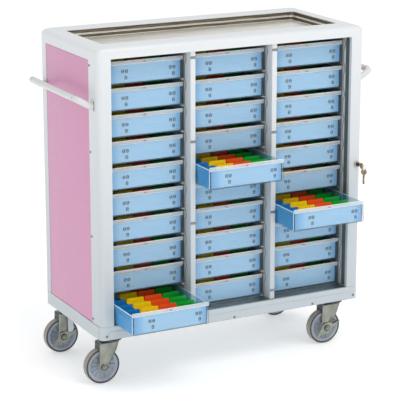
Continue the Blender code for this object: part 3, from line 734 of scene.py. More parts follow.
uprights = [(-OPENING_HALF, 1), (OPENING_HALF, -1)]
for node in ("left_mid_post", "right_mid_post"):
    low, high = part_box(node)
    uprights += [(low.x, -1), (high.x, 1)]
for order, (face_x, outward) in enumerate(uprights):
    def guide_edge(bm):
        skin(bm, [at_side(guide_outline(0), face_x + outward * 0.0003),
                  at_side(guide_outline(0), face_x + outward * 0.0009)])

    def guide_face(bm):
        skin(bm, [at_side(guide_outline(0.0018), face_x + outward * 0.0010),
                  at_side(guide_outline(0.0018), face_x + outward * 0.0013)])

    add_piece("guide_edge_%d" % order, mesh_of("guide_edge", guide_edge), [dark_edge_and_shade], "cart")
    add_piece("guide_face_%d" % order, mesh_of("guide_face", guide_face), [guide_pale], "cart")
for side, side_name in ((-1, "left"), (1, "right")):
    face_x = side * OPENING_HALF

    # A near-black sheet on the inside of the front post: painted shade for the shadowed recess.
    def inner_shade_sheet(bm):
        outline = rounded_rectangle(FRONT + 0.014, BASE_TOP + 0.004, DRAWER_PLANE - 0.019,
                                    OPENING_TOP - 0.004, 0.002, 3)
        skin(bm, [at_side(outline, face_x - side * 0.0002), at_side(outline, face_x - side * 0.0008)])

    add_piece(side_name + "_post_shade_sheet", mesh_of("post_shade_sheet", inner_shade_sheet), [dark_edge_and_shade], "cart")


def sill(bm):
    outline = rounded_rectangle(-OPENING_HALF + 0.001, FRONT + 0.006, OPENING_HALF - 0.001,
                                DRAWER_PLANE - 0.001, 0.002, 3)
    skin(bm, [at_height(outline, BASE_TOP + 0.0002), at_height(outline, BASE_TOP + 0.0014)])


add_piece("steel_sill", mesh_of("steel_sill", sill), [grey_steel], "cart", bevel=0.0004)
print("six guides, two liners and the sill")

# %% [markdown]
# ## The stainless worktop
# The tray is drawn from one sheet: a wall, a narrow ledge half way down it, a second wall and the flat floor.
# Pressed steel never has a sharp inner corner, so each turn is a small arc. The loops below walk down the
# inside with those arcs and come back up the outside one sheet thickness away.

# %% Worktop tray
def tray_ring(inset, z):
    radius = 0.014 if inset < 0.005 else 0.012
    return at_height(rounded_rectangle(-TRAY_HALF_X + inset, MIDDLE_Y - TRAY_HALF_Y + inset,
                                       TRAY_HALF_X - inset,
                                       MIDDLE_Y + TRAY_HALF_Y - inset, radius, 8), z)


def tray(bm):
    floor_z = tray_low.z + 0.0015
    ledge_z = (tray_high.z + floor_z) / 2
    ledge = 0.010
    bend = 0.003
    inside = [(0.0004, TOP - 0.0030), (0.0008, ledge_z + bend)]
    for step in range(1, 5):
        turn = math.radians(90 * step / 4)
        inside.append((0.0008 + bend * (1 - math.cos(turn)), ledge_z + bend * (1 - math.sin(turn))))
    for step in range(5):
        turn = math.radians(90 * step / 4)
        inside.append((ledge - bend + bend * math.sin(turn), ledge_z - bend * (1 - math.cos(turn))))
    for step in range(5):
        turn = math.radians(90 * step / 4)
        inside.append((ledge + bend * (1 - math.cos(turn)), floor_z + bend * (1 - math.sin(turn))))
    thickness = 0.0014
    outside = [(0.0002, TOP - 0.0046), (0.0002, ledge_z - thickness),
               (ledge - thickness, ledge_z - thickness),
               (ledge - thickness, floor_z - thickness)]
    loops = [tray_ring(inset, z) for inset, z in inside[::-1]] + [tray_ring(inset, z) for inset, z in outside]
    skin(bm, loops)


tray_mesh = mesh_of("stainless_worktop", tray)
add_piece("stainless_worktop", tray_mesh, [stainless], "cart", ["worktop_tray"])
print("worktop tray:", len(tray_mesh.polygons), "faces")

# %% [markdown]
# ## One drawer
# A drawer is a clear moulding: a tray with draft on its walls, a flat front, and a lip that swells a little along
# the top of the front so that a finger can pull it. The lip and every free edge look milky, because light
# runs inside clear plastic and comes out at its edges. The mesh is made once, about its own front low
# middle, and thirty pieces share it.

# %% Sizes of a drawer, read from one of them
sample_low, sample_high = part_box("drawer_r01_c1")
DRAWER_HALF = (sample_high.x - sample_low.x) / 2
DRAWER_DEPTH = sample_high.y - sample_low.y
FRONT_HEIGHT = sample_high.z - sample_low.z
WALL_HEIGHT = 0.070
WALL = 0.0025
LIP_START = 0.0640
CLEAR, MILKY, FRONT_CLEAR, CATCH, FLOOR_SHADE, LIP, SHADE_EDGE = range(7)
ROWS, COLUMNS = 10, 3
print("a drawer is", round(2 * DRAWER_HALF * 1000), "x", round(DRAWER_DEPTH * 1000), "x",
      round(FRONT_HEIGHT * 1000), "mm")


# %% The clear drawer
FRONT_SET = 0.0036
FRONT_SHEET = 0.0024
EDGE = DRAWER_HALF + 0.0004


def drawer_tray(bm):
    """The open tray behind the front, with a milky rim round its top."""
    front = FRONT_SET + FRONT_SHEET + 0.0012

    def ring(inset, z, radius=0.005):
        return at_height(rounded_rectangle(-DRAWER_HALF + inset, front + inset * 0.2, DRAWER_HALF - inset,
                                           DRAWER_DEPTH - inset, radius, 3), z)
    rim = WALL_HEIGHT - 0.0022
    outside = [ring(0.0022, 0.0), ring(0.0010, 0.0012), ring(0.0004, rim)]
    crown = [ring(0.0, rim), ring(0.0, WALL_HEIGHT), ring(WALL, WALL_HEIGHT)]
    inside = [ring(WALL + 0.0016, WALL + 0.0010), ring(WALL + 0.0026, WALL)]
    loops = outside + crown + inside
    rings = [[bm.verts.new(point) for point in loop] for loop in loops]
    bm.faces.new(rings[0]).material_index = CLEAR
    # The floor gets the dark teal painted shade.
    bm.faces.new(rings[-1]).material_index = FLOOR_SHADE
    for level, (lower, upper) in enumerate(zip(rings, rings[1:])):
        for i in range(len(lower)):
            j = (i + 1) % len(lower)
            face = bm.faces.new((lower[i], lower[j], upper[j], upper[i]))
            face.material_index = MILKY if 2 <= level <= 4 else CLEAR


def drawer_front(bm):
    """The front plate. Its left edge looks milky; its lower and right edges get painted shade from the dark bay
    behind them.
    """
    def outline(inset, radius):
        return rounded_rectangle(-EDGE + inset, 0.0004 + inset, EDGE - inset,
                                 LIP_START + 0.001 - inset * 0.2, radius, 4)

    back = FRONT_SET + FRONT_SHEET
    loops = [at_depth(outline(0.0003, 0.0030), back), at_depth(outline(0, 0.0032), back - 0.0004),
             at_depth(outline(0, 0.0032), FRONT_SET + 0.0004), at_depth(outline(0.0004, 0.0030), FRONT_SET),
             at_depth(outline(0.0015, 0.0024), FRONT_SET)]
    rings = [[bm.verts.new(point) for point in loop] for loop in loops]
    for lower, upper in zip(rings, rings[1:]):
        for i in range(len(lower)):
            j = (i + 1) % len(lower)
            middle = (lower[i].co + lower[j].co) / 2
            dark = middle.z < 0.004 or middle.x > EDGE - 0.004
            face = bm.faces.new((lower[i], lower[j], upper[j], upper[i]))
            face.material_index = SHADE_EDGE if dark else MILKY
    bm.faces.new(rings[-1]).material_index = FRONT_CLEAR
    bm.faces.new(rings[0]).material_index = FRONT_CLEAR
    # Two thin near-black strips beside the card paint the shadow lines at its two ends.
    for x, finish in ((-DRAWER_HALF + 0.0052, SHADE_EDGE), (DRAWER_HALF - 0.0072, SHADE_EDGE)):
        box(bm, (x - 0.0008, FRONT_SET - 0.0002, 0.003),
            (x + 0.0008, FRONT_SET + 0.0004, LIP_START - 0.001), finish)


def drawer_lip(bm):
    """A thin clear lip that swells gently forward, with milky lines where it starts and where it ends."""
    rise = FRONT_HEIGHT - LIP_START
    steps = 10
    outside = []
    inside = []
    for step in range(steps + 1):
        t = step / steps
        y = FRONT_SET - (FRONT_SET - 0.0005) * math.sin(math.pi * 0.8 * t)
        outside.append((y, LIP_START + rise * t))
        inside.append((y + 0.0022, LIP_START + 0.0004 + (rise - 0.0008) * t))
    section = outside + inside[::-1]
    ends = [(y * 0.8 + 0.001, LIP_START + (z - LIP_START) * 0.84 + 0.0008) for y, z in section]
    loops = [at_side(ends, -EDGE), at_side(section, -EDGE + 0.0024), at_side(section, EDGE - 0.0024),
             at_side(ends, EDGE)]
    rings = [[bm.verts.new(point) for point in loop] for loop in loops]
    for left, right in zip(rings, rings[1:]):
        for i in range(len(left)):
            j = (i + 1) % len(left)
            t = min(i, len(left) - 1 - i) / steps
            edge_line = t < 0.15 or t > 0.82
            bm.faces.new((left[i], left[j], right[j], right[i])).material_index = MILKY if edge_line else LIP
    bm.faces.new(rings[0]).material_index = MILKY
    bm.faces.new(rings[-1]).material_index = MILKY


def drawer_catch(bm):
    """The small catch in the middle of the lip."""
    centre = (0.0, 0.0016, LIP_START + 0.0072)
    skin(bm, turned([(0.0022, -0.0012), (0.0027, -0.0006), (0.0027, 0.0030)], "Y", 14, centre), finish=CATCH)


def clear_drawer(bm):
    drawer_tray(bm)
    drawer_front(bm)
    drawer_lip(bm)
    drawer_catch(bm)


drawer_shape = mesh_of("clear_drawer", clear_drawer)
for finish in (clear_wall, milky_edge, clear_front, catch_red, drawer_floor_shade, clear_lip, painted_shade_edge):
    drawer_shape.materials.append(finish)
print("clear drawer:", len(drawer_shape.polygons), "faces")

# %% [markdown]
# ## The card in a drawer's front
# A printed card slides in behind the clear front. The real print names a patient, so here the card carries
# only plain marks, little open boxes and bars that say nothing. They are thin raised shapes and not a
# picture, so they stay crisp from any distance.

# %% Card with its printed marks
CARD_LEFT = -DRAWER_HALF + 0.0062
CARD_RIGHT = DRAWER_HALF - 0.0082
CARD_LOW = 0.0042
CARD_HIGH = LIP_START - 0.0010


def open_box_mark(bm, x, z, width, height, stroke, bar):
    """A little printed box with a bar across it."""
    y0, y1 = -0.00035, 0.0002
    for low, high in (((x, z), (x + width, z + stroke)), ((x, z + height - stroke), (x + width, z + height)),
                      ((x, z), (x + stroke, z + height)), ((x + width - stroke, z), (x + width, z + height))):
        box(bm, (low[0], y0, low[1]), (high[0], y1, high[1]), 1)
    if bar:
        box(bm, (x - 0.0012, y0, z + height * 0.45), (x + width + 0.0012, y1, z + height * 0.45 + stroke), 1)


def card(bm):
    outline = rounded_rectangle(CARD_LEFT, CARD_LOW, CARD_RIGHT, CARD_HIGH, 0.0015, 2)
    skin(bm, [at_depth(outline, 0.0), at_depth(outline, 0.0005)], finish=0)
    length = CARD_RIGHT - CARD_LEFT
    stroke = 0.0018
    for start, upper in ((0.205, 0.0365), (0.850, 0.0365)):
        x = CARD_LEFT + start * length
        open_box_mark(bm, x, upper, 0.0090, 0.0110, stroke, True)
        open_box_mark(bm, x + 0.0135, upper, 0.0090, 0.0110, stroke, True)
        open_box_mark(bm, x + 0.0115, upper - 0.0215, 0.0082, 0.0115, stroke, True)


card_shape = mesh_of("label_card", card)
for finish in (card_finish, ink):
    card_shape.materials.append(finish)
print("card", round((CARD_RIGHT - CARD_LEFT) * 1000), "x", round((CARD_HIGH - CARD_LOW) * 1000), "mm")

# %% [markdown]
# ## The coloured dividers
# Inside each drawer stand four long moulded boxes, one for each time of day: blue, yellow, orange and green.
# Cross walls split each box into seven, one for each day, and every cross wall rises into a tab with round
# corners and a pebbled, stamped face. One box is drawn as a trough with seven tabs, and the same shape is
# dressed in four colours.

# %% Divider box with seven tabs
DIVIDER_PITCH = 0.0685
DIVIDER_HALF = 0.0336
TAB_HALF = 0.0322
TROUGH_TOP = 0.0445
TAB_TOP = 0.0590
FIRST_TAB = 0.0360
TAB_PITCH = 0.0560
DAYS = 7


def divider_box(bm):
    low = WALL + 0.0012
    wall = 0.0013
    front = 0.0130
    back = DRAWER_DEPTH - 0.0062
    outer = [rounded_rectangle(-DIVIDER_HALF + i, front + i, DIVIDER_HALF - i, back - i, 0.003,
                               3) for i in (0, wall)]
    skin(bm, [at_height(outer[0], low), at_height(outer[0], TROUGH_TOP), at_height(outer[1], TROUGH_TOP),
              at_height(outer[1], low + wall)])
    tab = [(TAB_HALF, low + wall)] + arc((TAB_HALF - 0.004, TAB_TOP - 0.004), 0.004, 0, 90, 5) \
        + arc((-TAB_HALF + 0.004, TAB_TOP - 0.004), 0.004, 90, 180, 5) + [(-TAB_HALF, low + wall)]
    for day in range(DAYS):
        y = FIRST_TAB + day * TAB_PITCH
        lean = 0.004
        loops = [[(x, y + side + lean * (z - low) / TAB_TOP, z) for x, z in tab] for side in (-0.0009,
                                                                                              0.0009)]
        skin(bm, loops)
        for stamp in range(5):
            x = -0.0235 + stamp * 0.0105
            height = 0.0052 if stamp % 2 else 0.0075
            z = TAB_TOP - 0.0065 - height
            face_y = y - 0.0009 + lean * (z - low) / TAB_TOP
            box(bm, (x, face_y - 0.0006, z), (x + 0.0062, face_y + 0.0010, z + height))


divider_shapes = {}
for colour, finish in DIVIDER_FINISHES.items():
    divider_shapes[colour] = mesh_of(colour + "_divider", divider_box)
    divider_shapes[colour].materials.append(finish)
print("divider box:", len(divider_shapes["blue"].polygons), "faces,", DAYS, "tabs")

# %% [markdown]
# ## Filling the bay
# Thirty drawers could be modelled thirty times, but they came out of one mould. So one mesh is shared by all of
# them, and only the place differs. Each card and divider rides on its own drawer, so it slides out with it.

# %% Thirty drawers, each with its card and its four dividers
for row in range(1, ROWS + 1):
    for column in range(1, COLUMNS + 1):
        drawer = "drawer_r%02d_c%d" % (row, column)
        low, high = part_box(drawer)
        place = Vector(((low.x + high.x) / 2, low.y, low.z))
        tag = "r%02d_c%d" % (row, column)
        add_piece("clear_drawer_" + tag, drawer_shape, [], drawer, [drawer], place)
        add_piece("label_card_" + tag, card_shape, [], drawer, (),
                  place + Vector((0, FRONT_SET + FRONT_SHEET + 0.0002, 0)))
        for order, colour in enumerate(DIVIDER_FINISHES):
            offset = Vector(((order - 1.5) * DIVIDER_PITCH, 0, 0))
            add_piece(colour + "_divider_" + tag, divider_shapes[colour], [], drawer, (),
                      place + offset)
print(ROWS * COLUMNS, "drawers, each with a card and", len(DIVIDER_FINISHES), "dividers")


# %% [markdown]
# ## The runner walls
# A drawer slides on ledges that stand out from a wall on each side of it. The CAD solids already have that
# shape, ledge for ledge, so nothing is remodelled: each keeps its mesh and only its finish is changed. The
# outer walls are grey plastic coloured darker still, as painted shade for the deep bay. The two middle ones
# stand behind the pale posts and are coloured as pale as they are, painted light that lifts them out of the
# shade.

# %% Runner walls keep their solids and get their plastic
WALL_FINISHES = {"left_runner_wall": shaded_runner_plastic, "mid_left_runner_wall": lit_runner_plastic,
                 "mid_right_runner_wall": lit_runner_plastic, "right_runner_wall": shaded_runner_plastic}
for node, finish in WALL_FINISHES.items():
    wall = frame["nodes"][node]
    wall.data.materials.clear()
    wall.data.materials.append(finish)
print("four runner walls dressed")

# %% [markdown]
# ## The handles
# Each handle is one length of tube, bent four times. Its feet leave the posts level, then it rises a little
# and runs along the side. A curve with a round bevel is the natural way to make tube: the route is a line
# with rounded corners, and the tube follows it. Its foot sits in a small welded bracket, with a black strip
# that paints the shadow where the tube meets the post.

# %% Tube handles and their feet
HANDLE_REACH = 0.054
HANDLE_RADIUS = 0.0108
HANDLE_HALF = 0.198
HANDLE_FOOT_Z = 0.972
HANDLE_GRIP_Z = 0.996


def rounded_route(corners, radius, steps=8):
    """A polyline whose inner corners are replaced by smooth bends."""
    route = [Vector(corners[0])]
    for before, corner, after in zip(corners, corners[1:], corners[2:]):
        corner = Vector(corner)
        back = (Vector(before) - corner)
        ahead = (Vector(after) - corner)
        reach = min(radius / math.tan(back.angle(ahead) / 2), 0.45 * back.length, 0.45 * ahead.length)
        start = corner + back.normalized() * reach
        end = corner + ahead.normalized() * reach
        for step in range(steps + 1):
            t = step / steps
            route.append(start * (1 - t) ** 2 + corner * 2 * t * (1 - t) + end * t ** 2)
    route.append(Vector(corners[-1]))
    return route


def tube_mesh(name, route, radius, sides=18):
    """A tube along a route, with closed ends."""
    def build(bm):
        loops = []
        sideways = Vector((0, 0, 1))
        for i, point in enumerate(route):
            ahead = (route[min(i + 1, len(route) - 1)] - route[max(i - 1, 0)]).normalized()
            across = ahead.cross(sideways)
            if across.length < 0.1:
                across = ahead.cross(Vector((1, 0, 0)))
            across.normalize()
            up = across.cross(ahead).normalized()
            ring = []
            for k in range(sides):
                turn = 2 * math.pi * k / sides
                ring.append(tuple(point + across * radius * math.cos(turn) + up * radius * math.sin(turn)))
            loops.append(ring)
        skin(bm, loops)
    return mesh_of(name, build)


for side, side_name in ((-1, "left"), (1, "right")):
    foot_x = side * (HALF_WIDTH + 0.0008)
    turn_x = side * (HALF_WIDTH + 0.013)
    grip_x = side * (HALF_WIDTH + HANDLE_REACH)
    corners = []
    for end in (-1, 1):
        y = MIDDLE_Y + end * HANDLE_HALF
        leg = [(foot_x, y, HANDLE_FOOT_Z), (turn_x, y, HANDLE_FOOT_Z), (grip_x, y, HANDLE_GRIP_Z)]
        corners += leg if end < 0 else leg[::-1]
    tube = tube_mesh(side_name + "_tube", rounded_route(corners, 0.022), HANDLE_RADIUS)
    add_piece(side_name + "_tube_handle", tube, [grey_paint], "cart", [side_name + "_handle"])
    for end, end_name in ((-1, "front"), (1, "rear")):
        y = MIDDLE_Y + end * HANDLE_HALF
        seam_y = y - end * 0.0235

        def foot(bm):
            """A welded foot: a flat plate on the post, and a collar round the tube where it was swaged."""
            plate = rounded_rectangle(y - 0.0150, HANDLE_FOOT_Z - 0.0195, y + 0.0150,
                                      HANDLE_FOOT_Z + 0.0195, 0.005)
            skin(bm, [at_side(plate, side * HALF_WIDTH), at_side(plate, side * (HALF_WIDTH + 0.0022))])
            skin(bm, turned([(0.0136, side * (HALF_WIDTH + 0.0020)), (0.0136, side * (HALF_WIDTH + 0.0060)),
                             (0.0118, side * (HALF_WIDTH + 0.0080))], "X", 24, (0, y, HANDLE_FOOT_Z)))

        # A black strip at the front of the foot: painted shadow where the tube meets the post.
        def shadow_slot(bm):
            cut = rounded_rectangle(y - 0.0142, HANDLE_FOOT_Z - 0.0160, y - 0.0112, HANDLE_FOOT_Z + 0.0165,
                                    0.0012, 3)
            skin(bm, [at_side(cut, side * (HALF_WIDTH + 0.0018)), at_side(cut, side * (HALF_WIDTH + 0.0027))])

        def seam(bm):
            """The fine raised line where the bend was joined to the straight grip."""
            skin(bm, turned([(0.0107, seam_y - 0.0010), (0.0109, seam_y - 0.0004), (0.0109, seam_y + 0.0004),
                             (0.0107, seam_y + 0.0010)], "Y", 28, (grip_x, 0, HANDLE_GRIP_Z)))

        name = side_name + "_" + end_name + "_handle"
        add_piece(name + "_seam", mesh_of("handle_seam", seam), [grey_steel], "cart")
        add_piece(name + "_foot", mesh_of("handle_foot", foot), [grey_paint], "cart",
                  bevel=0.0006)
        add_piece(name + "_slot", mesh_of("handle_slot", shadow_slot), [black_steel], "cart")
print("two handles with four feet")

# %% [markdown]
# ## The casters
# A caster is a small machine. A plate is bolted under the base, and a swivel head with balls in it turns
# under the plate. The fork hangs from the head: one strip of steel, bent into a U and pressed with a ridge
# so that it doesn't buckle. The wheel turns between its legs on a bolt, a little behind the swivel axis,
# which is why it trails. The fork is drawn as a grid that follows the U, and Solidify gives it its sheet.

# %% Fork, swivel head, mounting plate and axle
TRAIL = 0.040
WHEEL_RADIUS = 0.0625
FORK_HALF = 0.0230
CROWN_Z = 0.1495
BOSS = 0.0165
TOP_FRONT = 0.0170
TOP_REAR = -0.0530
SHOULDER_Z = 0.117
FORK_COLUMNS = (0.0, 0.14, 0.28, 0.40, 0.50, 0.56, 0.70, 0.85, 1.0)
RIDGE_AT = 0.53
RIDGE_HEIGHT = 0.0042
EDGE_DROP = 0.0024


def fork_span(z):
    """Rear and front edge of a fork leg at a height: round at the axle, wide at the crown."""
    if z <= WHEEL_RADIUS:
        chord = math.sqrt(max(BOSS ** 2 - (WHEEL_RADIUS - z) ** 2, 1e-7))
        return -TRAIL - chord, -TRAIL + chord
    rear_low, front_low = -TRAIL - BOSS, -TRAIL + BOSS
    if z < SHOULDER_Z:
        t = (z - WHEEL_RADIUS) / (SHOULDER_Z - WHEEL_RADIUS)
        return rear_low + (TOP_REAR - 0.002 - rear_low) * t, front_low + (TOP_FRONT - 0.009 - front_low) * t
    t = min((z - SHOULDER_Z) / (CROWN_Z - SHOULDER_Z), 1.0)
    return TOP_REAR - 0.002 + 0.002 * t, TOP_FRONT - 0.009 + 0.009 * t


def fork_pressing(bm):
    """A grid that runs up one leg, over the crown and down the other."""
    bend = 0.007
    leg = [WHEEL_RADIUS - BOSS * math.cos(math.radians(90 * i / 6)) * 0.996 for i in range(7)]
    leg += [WHEEL_RADIUS + (CROWN_Z - bend - WHEEL_RADIUS) * i / 8 for i in range(1, 9)]
    path = [(-FORK_HALF, z) for z in leg]
    path += [(-FORK_HALF + bend - bend * math.cos(a), CROWN_Z - bend + bend * math.sin(a))
             for a in (math.radians(90 * i / 5) for i in range(1, 6))]
    path += [(-y, z) for y, z in path[::-1]]
    rows = []
    for y, z in path:
        low_x, high_x = fork_span(z)
        fade = min(max((CROWN_Z - bend - z) / 0.012, 0.0), 1.0) * min(max((z - 0.060) / 0.022, 0.0), 1.0)
        row = []
        for t in FORK_COLUMNS:
            rise = 1 - abs(t - RIDGE_AT) / (RIDGE_AT if t < RIDGE_AT else 1 - RIDGE_AT)
            push = (RIDGE_HEIGHT * rise - EDGE_DROP * (1 - rise)) * fade
            row.append(bm.verts.new((low_x + (high_x - low_x) * t, y + math.copysign(1, y) * push, z)))
        rows.append(row)
    for lower, upper in zip(rows, rows[1:]):
        for i in range(len(FORK_COLUMNS) - 1):
            bm.faces.new((lower[i], lower[i + 1], upper[i + 1], upper[i]))


def swivel_head(bm):
    skin(bm, turned([(0.024, 0.1500), (0.0310, 0.1502), (0.0345, 0.1520), (0.0350, 0.1550), (0.0335, 0.1580),
                     (0.0270, 0.1598), (0.0270, 0.1612), (0.0305, 0.1622), (0.0315, 0.1640),
                     (0.0315, 0.1664)],
                    "Z", 40))


def crown_shade_sheet(bm):
    """A dark sheet pressed in under the crown, above the tyre: painted shade for the shadowed inside of the fork.
    """
    low = rounded_rectangle(TOP_REAR - 0.0035, -0.0185, -0.0120, 0.0185, 0.004, 4)
    high = rounded_rectangle(TOP_REAR - 0.0020, -0.0190, -0.0100, 0.0190, 0.004, 4)
    skin(bm, [at_height(low, 0.1285), at_height(high, 0.1330), at_height(high, CROWN_Z - 0.0034)])


def mounting_plate(bm):
    plate = rounded_rectangle(-0.052, -0.043, 0.052, 0.043, 0.009)
    skin(bm, [at_height(plate, BASE_UNDERSIDE - 0.0033), at_height(plate, BASE_UNDERSIDE - 0.0003)])
    for x in (-0.040, 0.040):
        for y in (-0.031, 0.031):
            top = BASE_UNDERSIDE - 0.0031
            skin(bm, turned([(0.0062, top - 0.0046), (0.0068, top - 0.0038), (0.0068, top)], "Z", 6,
                            (x, y, 0)))


def axle_bolt(reach):
    """A bolt head on one side and a nut on the other, each on a dark washer."""
    def build(bm):
        for end in (-1, 1):
            face = end * reach
            skin(bm, turned([(0.0122, face), (0.0122, face + end * 0.0007), (0.0116, face + end * 0.0010)],
                            "Y", 32),
                 finish=1)
            skin(bm, turned([(0.0095, face + end * 0.0010), (0.0095, face + end * 0.0016),
                             (0.0088, face + end * 0.0022)], "Y", 28))
            skin(bm, turned([(0.0076, face + end * 0.0021), (0.0076, face + end * 0.0055),
                             (0.0064, face + end * 0.0065)], "Y", 6))
            skin(bm, turned([(0.0042, face + end * 0.0062), (0.0042, face + end * 0.0082),
                             (0.0034, face + end * 0.0088)], "Y", 20))
    return build


# %% [markdown]
# The wheel has a soft tyre moulded round a hard disc. The tyre is turned with a slightly crowned tread. The
# disc is dished between its rim and its hub, so each ring of it catches the light differently. The brake is
# a pressed lever that rocks on the axle bolt: a wedge one way and a foot pad the other.

# %% Tyre, disc and brake lever
def mirrored(profile):
    return profile + [(radius, -along) for radius, along in profile[::-1]]


def tyre(bm):
    """A crowned tread with a darker shoulder on each side, where the rubber meets the disc."""
    side = [(0.0560, -0.0128), (0.0568, -0.0146), (0.0586, -0.0150), (0.0604, -0.0146), (0.0616, -0.0130),
            (0.0622, -0.0100), (0.0625, -0.0050)]
    profile = mirrored(side)
    loops = turned(profile, "Y", 72)
    rings = [[bm.verts.new(point) for point in loop] for loop in loops]
    for order, (lower, upper) in enumerate(zip(rings, rings[1:] + rings[:1])):
        shoulder = order < 4 or order >= len(profile) - 5
        for i in range(len(lower)):
            j = (i + 1) % len(lower)
            bm.faces.new((lower[i], lower[j], upper[j], upper[i])).material_index = 1 if shoulder else 0


SPOKES = 14


def disc(bm):
    """A dished disc with a raised hub, a flat rim and short ribs between them."""
    side = [(0.0052, -0.0168), (0.0130, -0.0168), (0.0146, -0.0158), (0.0156, -0.0110), (0.0180, -0.0082),
            (0.0230, -0.0070), (0.0380, -0.0074), (0.0430, -0.0092), (0.0456, -0.0128), (0.0476, -0.0140),
            (0.0540, -0.0140), (0.0558, -0.0132)]
    skin(bm, turned(mirrored(side), "Y", 72), closed=True)
    for end in (-1, 1):
        for spoke in range(SPOKES):
            turn = 2 * math.pi * spoke / SPOKES
            outward = Vector((math.cos(turn), 0, math.sin(turn)))
            across = Vector((-math.sin(turn), 0, math.cos(turn)))
            loops = []
            for along, half in ((0.0165, 0.0016), (0.0300, 0.0011), (0.0450, 0.0013)):
                height = 0.0112 if along < 0.04 else 0.0128
                loops.append([tuple(outward * along + across * side_of * half + Vector((0, end * depth, 0)))
                              for side_of, depth in ((-1, 0.0066), (-0.6, height), (0.6, height),
                                                     (1, 0.0066))])
            skin(bm, loops)


BRAKE_OUT = FORK_HALF + 0.0045


def brake_lever(bm):
    """Lever outline round the axle: a wedge to the lower left, a broad hub, a folded wing to the upper right."""
    hub = arc((0, -0.002), 0.0215, 250, 315, 5)
    outline = [(-0.0440, -0.0285), (-0.0425, -0.0320), (-0.0380, -0.0325)] + hub
    outline += [(0.0205, -0.0060), (0.0300, 0.0020), (0.0430, 0.0100), (0.0470, 0.0240), (0.0400, 0.0265),
                (0.0240, 0.0190), (0.0130, 0.0205), (0.0020, 0.0185), (-0.0110, 0.0175), (-0.0190, 0.0090),
                (-0.0260, -0.0050)]
    skin(bm, [at_depth(outline, -BRAKE_OUT - 0.0024), at_depth(outline, -BRAKE_OUT)])
    wing = [(0.0180, 0.0168), (0.0190, 0.0150), (0.0460, 0.0245), (0.0452, 0.0268)]
    skin(bm, [at_depth(wing, -BRAKE_OUT - 0.0150), at_depth(wing, -BRAKE_OUT - 0.0004)])


def pedal_sleeve(bm):
    """The pale plastic sleeve that stands up on the rear brake's wing."""
    outline = rounded_rectangle(0.0160, 0.0180, 0.0330, 0.0740, 0.004, 5)
    narrow = rounded_rectangle(0.0175, 0.0195, 0.0315, 0.0725, 0.003, 5)
    skin(bm, [at_depth(narrow, -BRAKE_OUT - 0.0130), at_depth(outline, -BRAKE_OUT - 0.0115),
              at_depth(outline, -BRAKE_OUT - 0.0012), at_depth(narrow, -BRAKE_OUT - 0.0004)])


fork_shape = mesh_of("fork_pressing", fork_pressing)
head_shape = mesh_of("swivel_head", swivel_head)
plate_shape = mesh_of("mounting_plate", mounting_plate)
crown_shade_shape = mesh_of("crown_shade_sheet", crown_shade_sheet)
bolt_shape = mesh_of("axle_bolt", axle_bolt(FORK_HALF + 0.0003))
long_bolt_shape = mesh_of("long_axle_bolt", axle_bolt(BRAKE_OUT + 0.0026))
for shape in (bolt_shape, long_bolt_shape):
    shape.materials.append(zinc)
    shape.materials.append(black_steel)
tyre_shape = mesh_of("tyre", tyre)
tyre_shape.materials.append(tyre_rubber)
tyre_shape.materials.append(tyre_edge)
disc_shape = mesh_of("wheel_disc", disc)
brake_shape = mesh_of("brake_lever", brake_lever)

# %% [markdown]
# All four casters are the same bought part, so one loop places them from the middle of each wheel. The plate
# stays with the cart, the head and fork turn with the caster, and the tyre and disc turn with the wheel. Only
# two of them, on one diagonal, have a brake lever and so a longer bolt.

# %% Four casters, two of them with a brake
for end_name in ("front", "rear"):
    for side_name in ("left", "right"):
        place = end_name + "_" + side_name
        caster = place + "_caster"
        wheel_low, wheel_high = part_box(place + "_wheel")
        axle = (wheel_low + wheel_high) / 2
        swivel = Vector((axle.x + TRAIL, axle.y, 0))
        braked = place in ("front_right", "rear_left")
        # The plate, head and crown sheet wear the near-black painted shade of the space under the base.
        add_piece(place + "_mounting_plate", plate_shape, [plate_in_painted_shade], "cart", (), swivel,
                  0.0007)
        add_piece(place + "_swivel_head", head_shape, [plate_in_painted_shade], caster, (), swivel)
        fork = add_piece(place + "_fork_pressing", fork_shape, [zinc], caster,
                         [place + "_fork"], swivel)
        sheet = fork.modifiers.new("sheet", "SOLIDIFY")
        sheet.thickness = 0.0026
        sheet.offset = -1.0
        add_piece(place + "_crown_shade_sheet", crown_shade_shape, [plate_in_painted_shade], caster, (), swivel,
                  0.0006)
        bolt = long_bolt_shape if braked else bolt_shape
        add_piece(place + "_axle_bolt", bolt, [nickel], caster, (), axle, 0.0004)
        add_piece(place + "_tyre", tyre_shape, [tyre_rubber], place + "_wheel",
                  [place + "_wheel"], axle)
        add_piece(place + "_wheel_disc", disc_shape, [wheel_grey], place + "_wheel", (), axle)
        if braked:
            add_piece(place + "_brake_lever", brake_shape, [zinc], place + "_brake",
                      [place + "_brake"], axle, 0.0007)
        if place == "rear_left":
            add_piece(place + "_pedal_sleeve", mesh_of("pedal_sleeve", pedal_sleeve), [pedal_white],
                      place + "_brake",
                      (), axle)
print("four casters")

# %% [markdown]
# ## Lock and keys
# A cam lock sits in the right front post. Its key stands in it, bow outward, and a second key hangs from the
# first on a split ring. The ring runs slantwise through the eye of the bow, which lies on the lock's own axis.
# At that slant it passes the bow's sheet both when the key stands upright and when it has turned level.

# %% Lock barrel, key, ring and spare key
lock_low, lock_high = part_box("lock_barrel")
LOCK = Vector(((lock_low.x + lock_high.x) / 2, FRONT, (lock_low.z + lock_high.z) / 2))
EYE_OUT = 0.0375


def lock_face(bm):
    """The flange with its raised ring, and the plug inside it."""
    skin(bm, turned([(0.0118, -0.0002), (0.0118, -0.0030), (0.0108, -0.0058), (0.0090, -0.0064),
                     (0.0072, -0.0058),
                     (0.0066, -0.0040), (0.0066, -0.0002)], "Y", 40), closed=True)


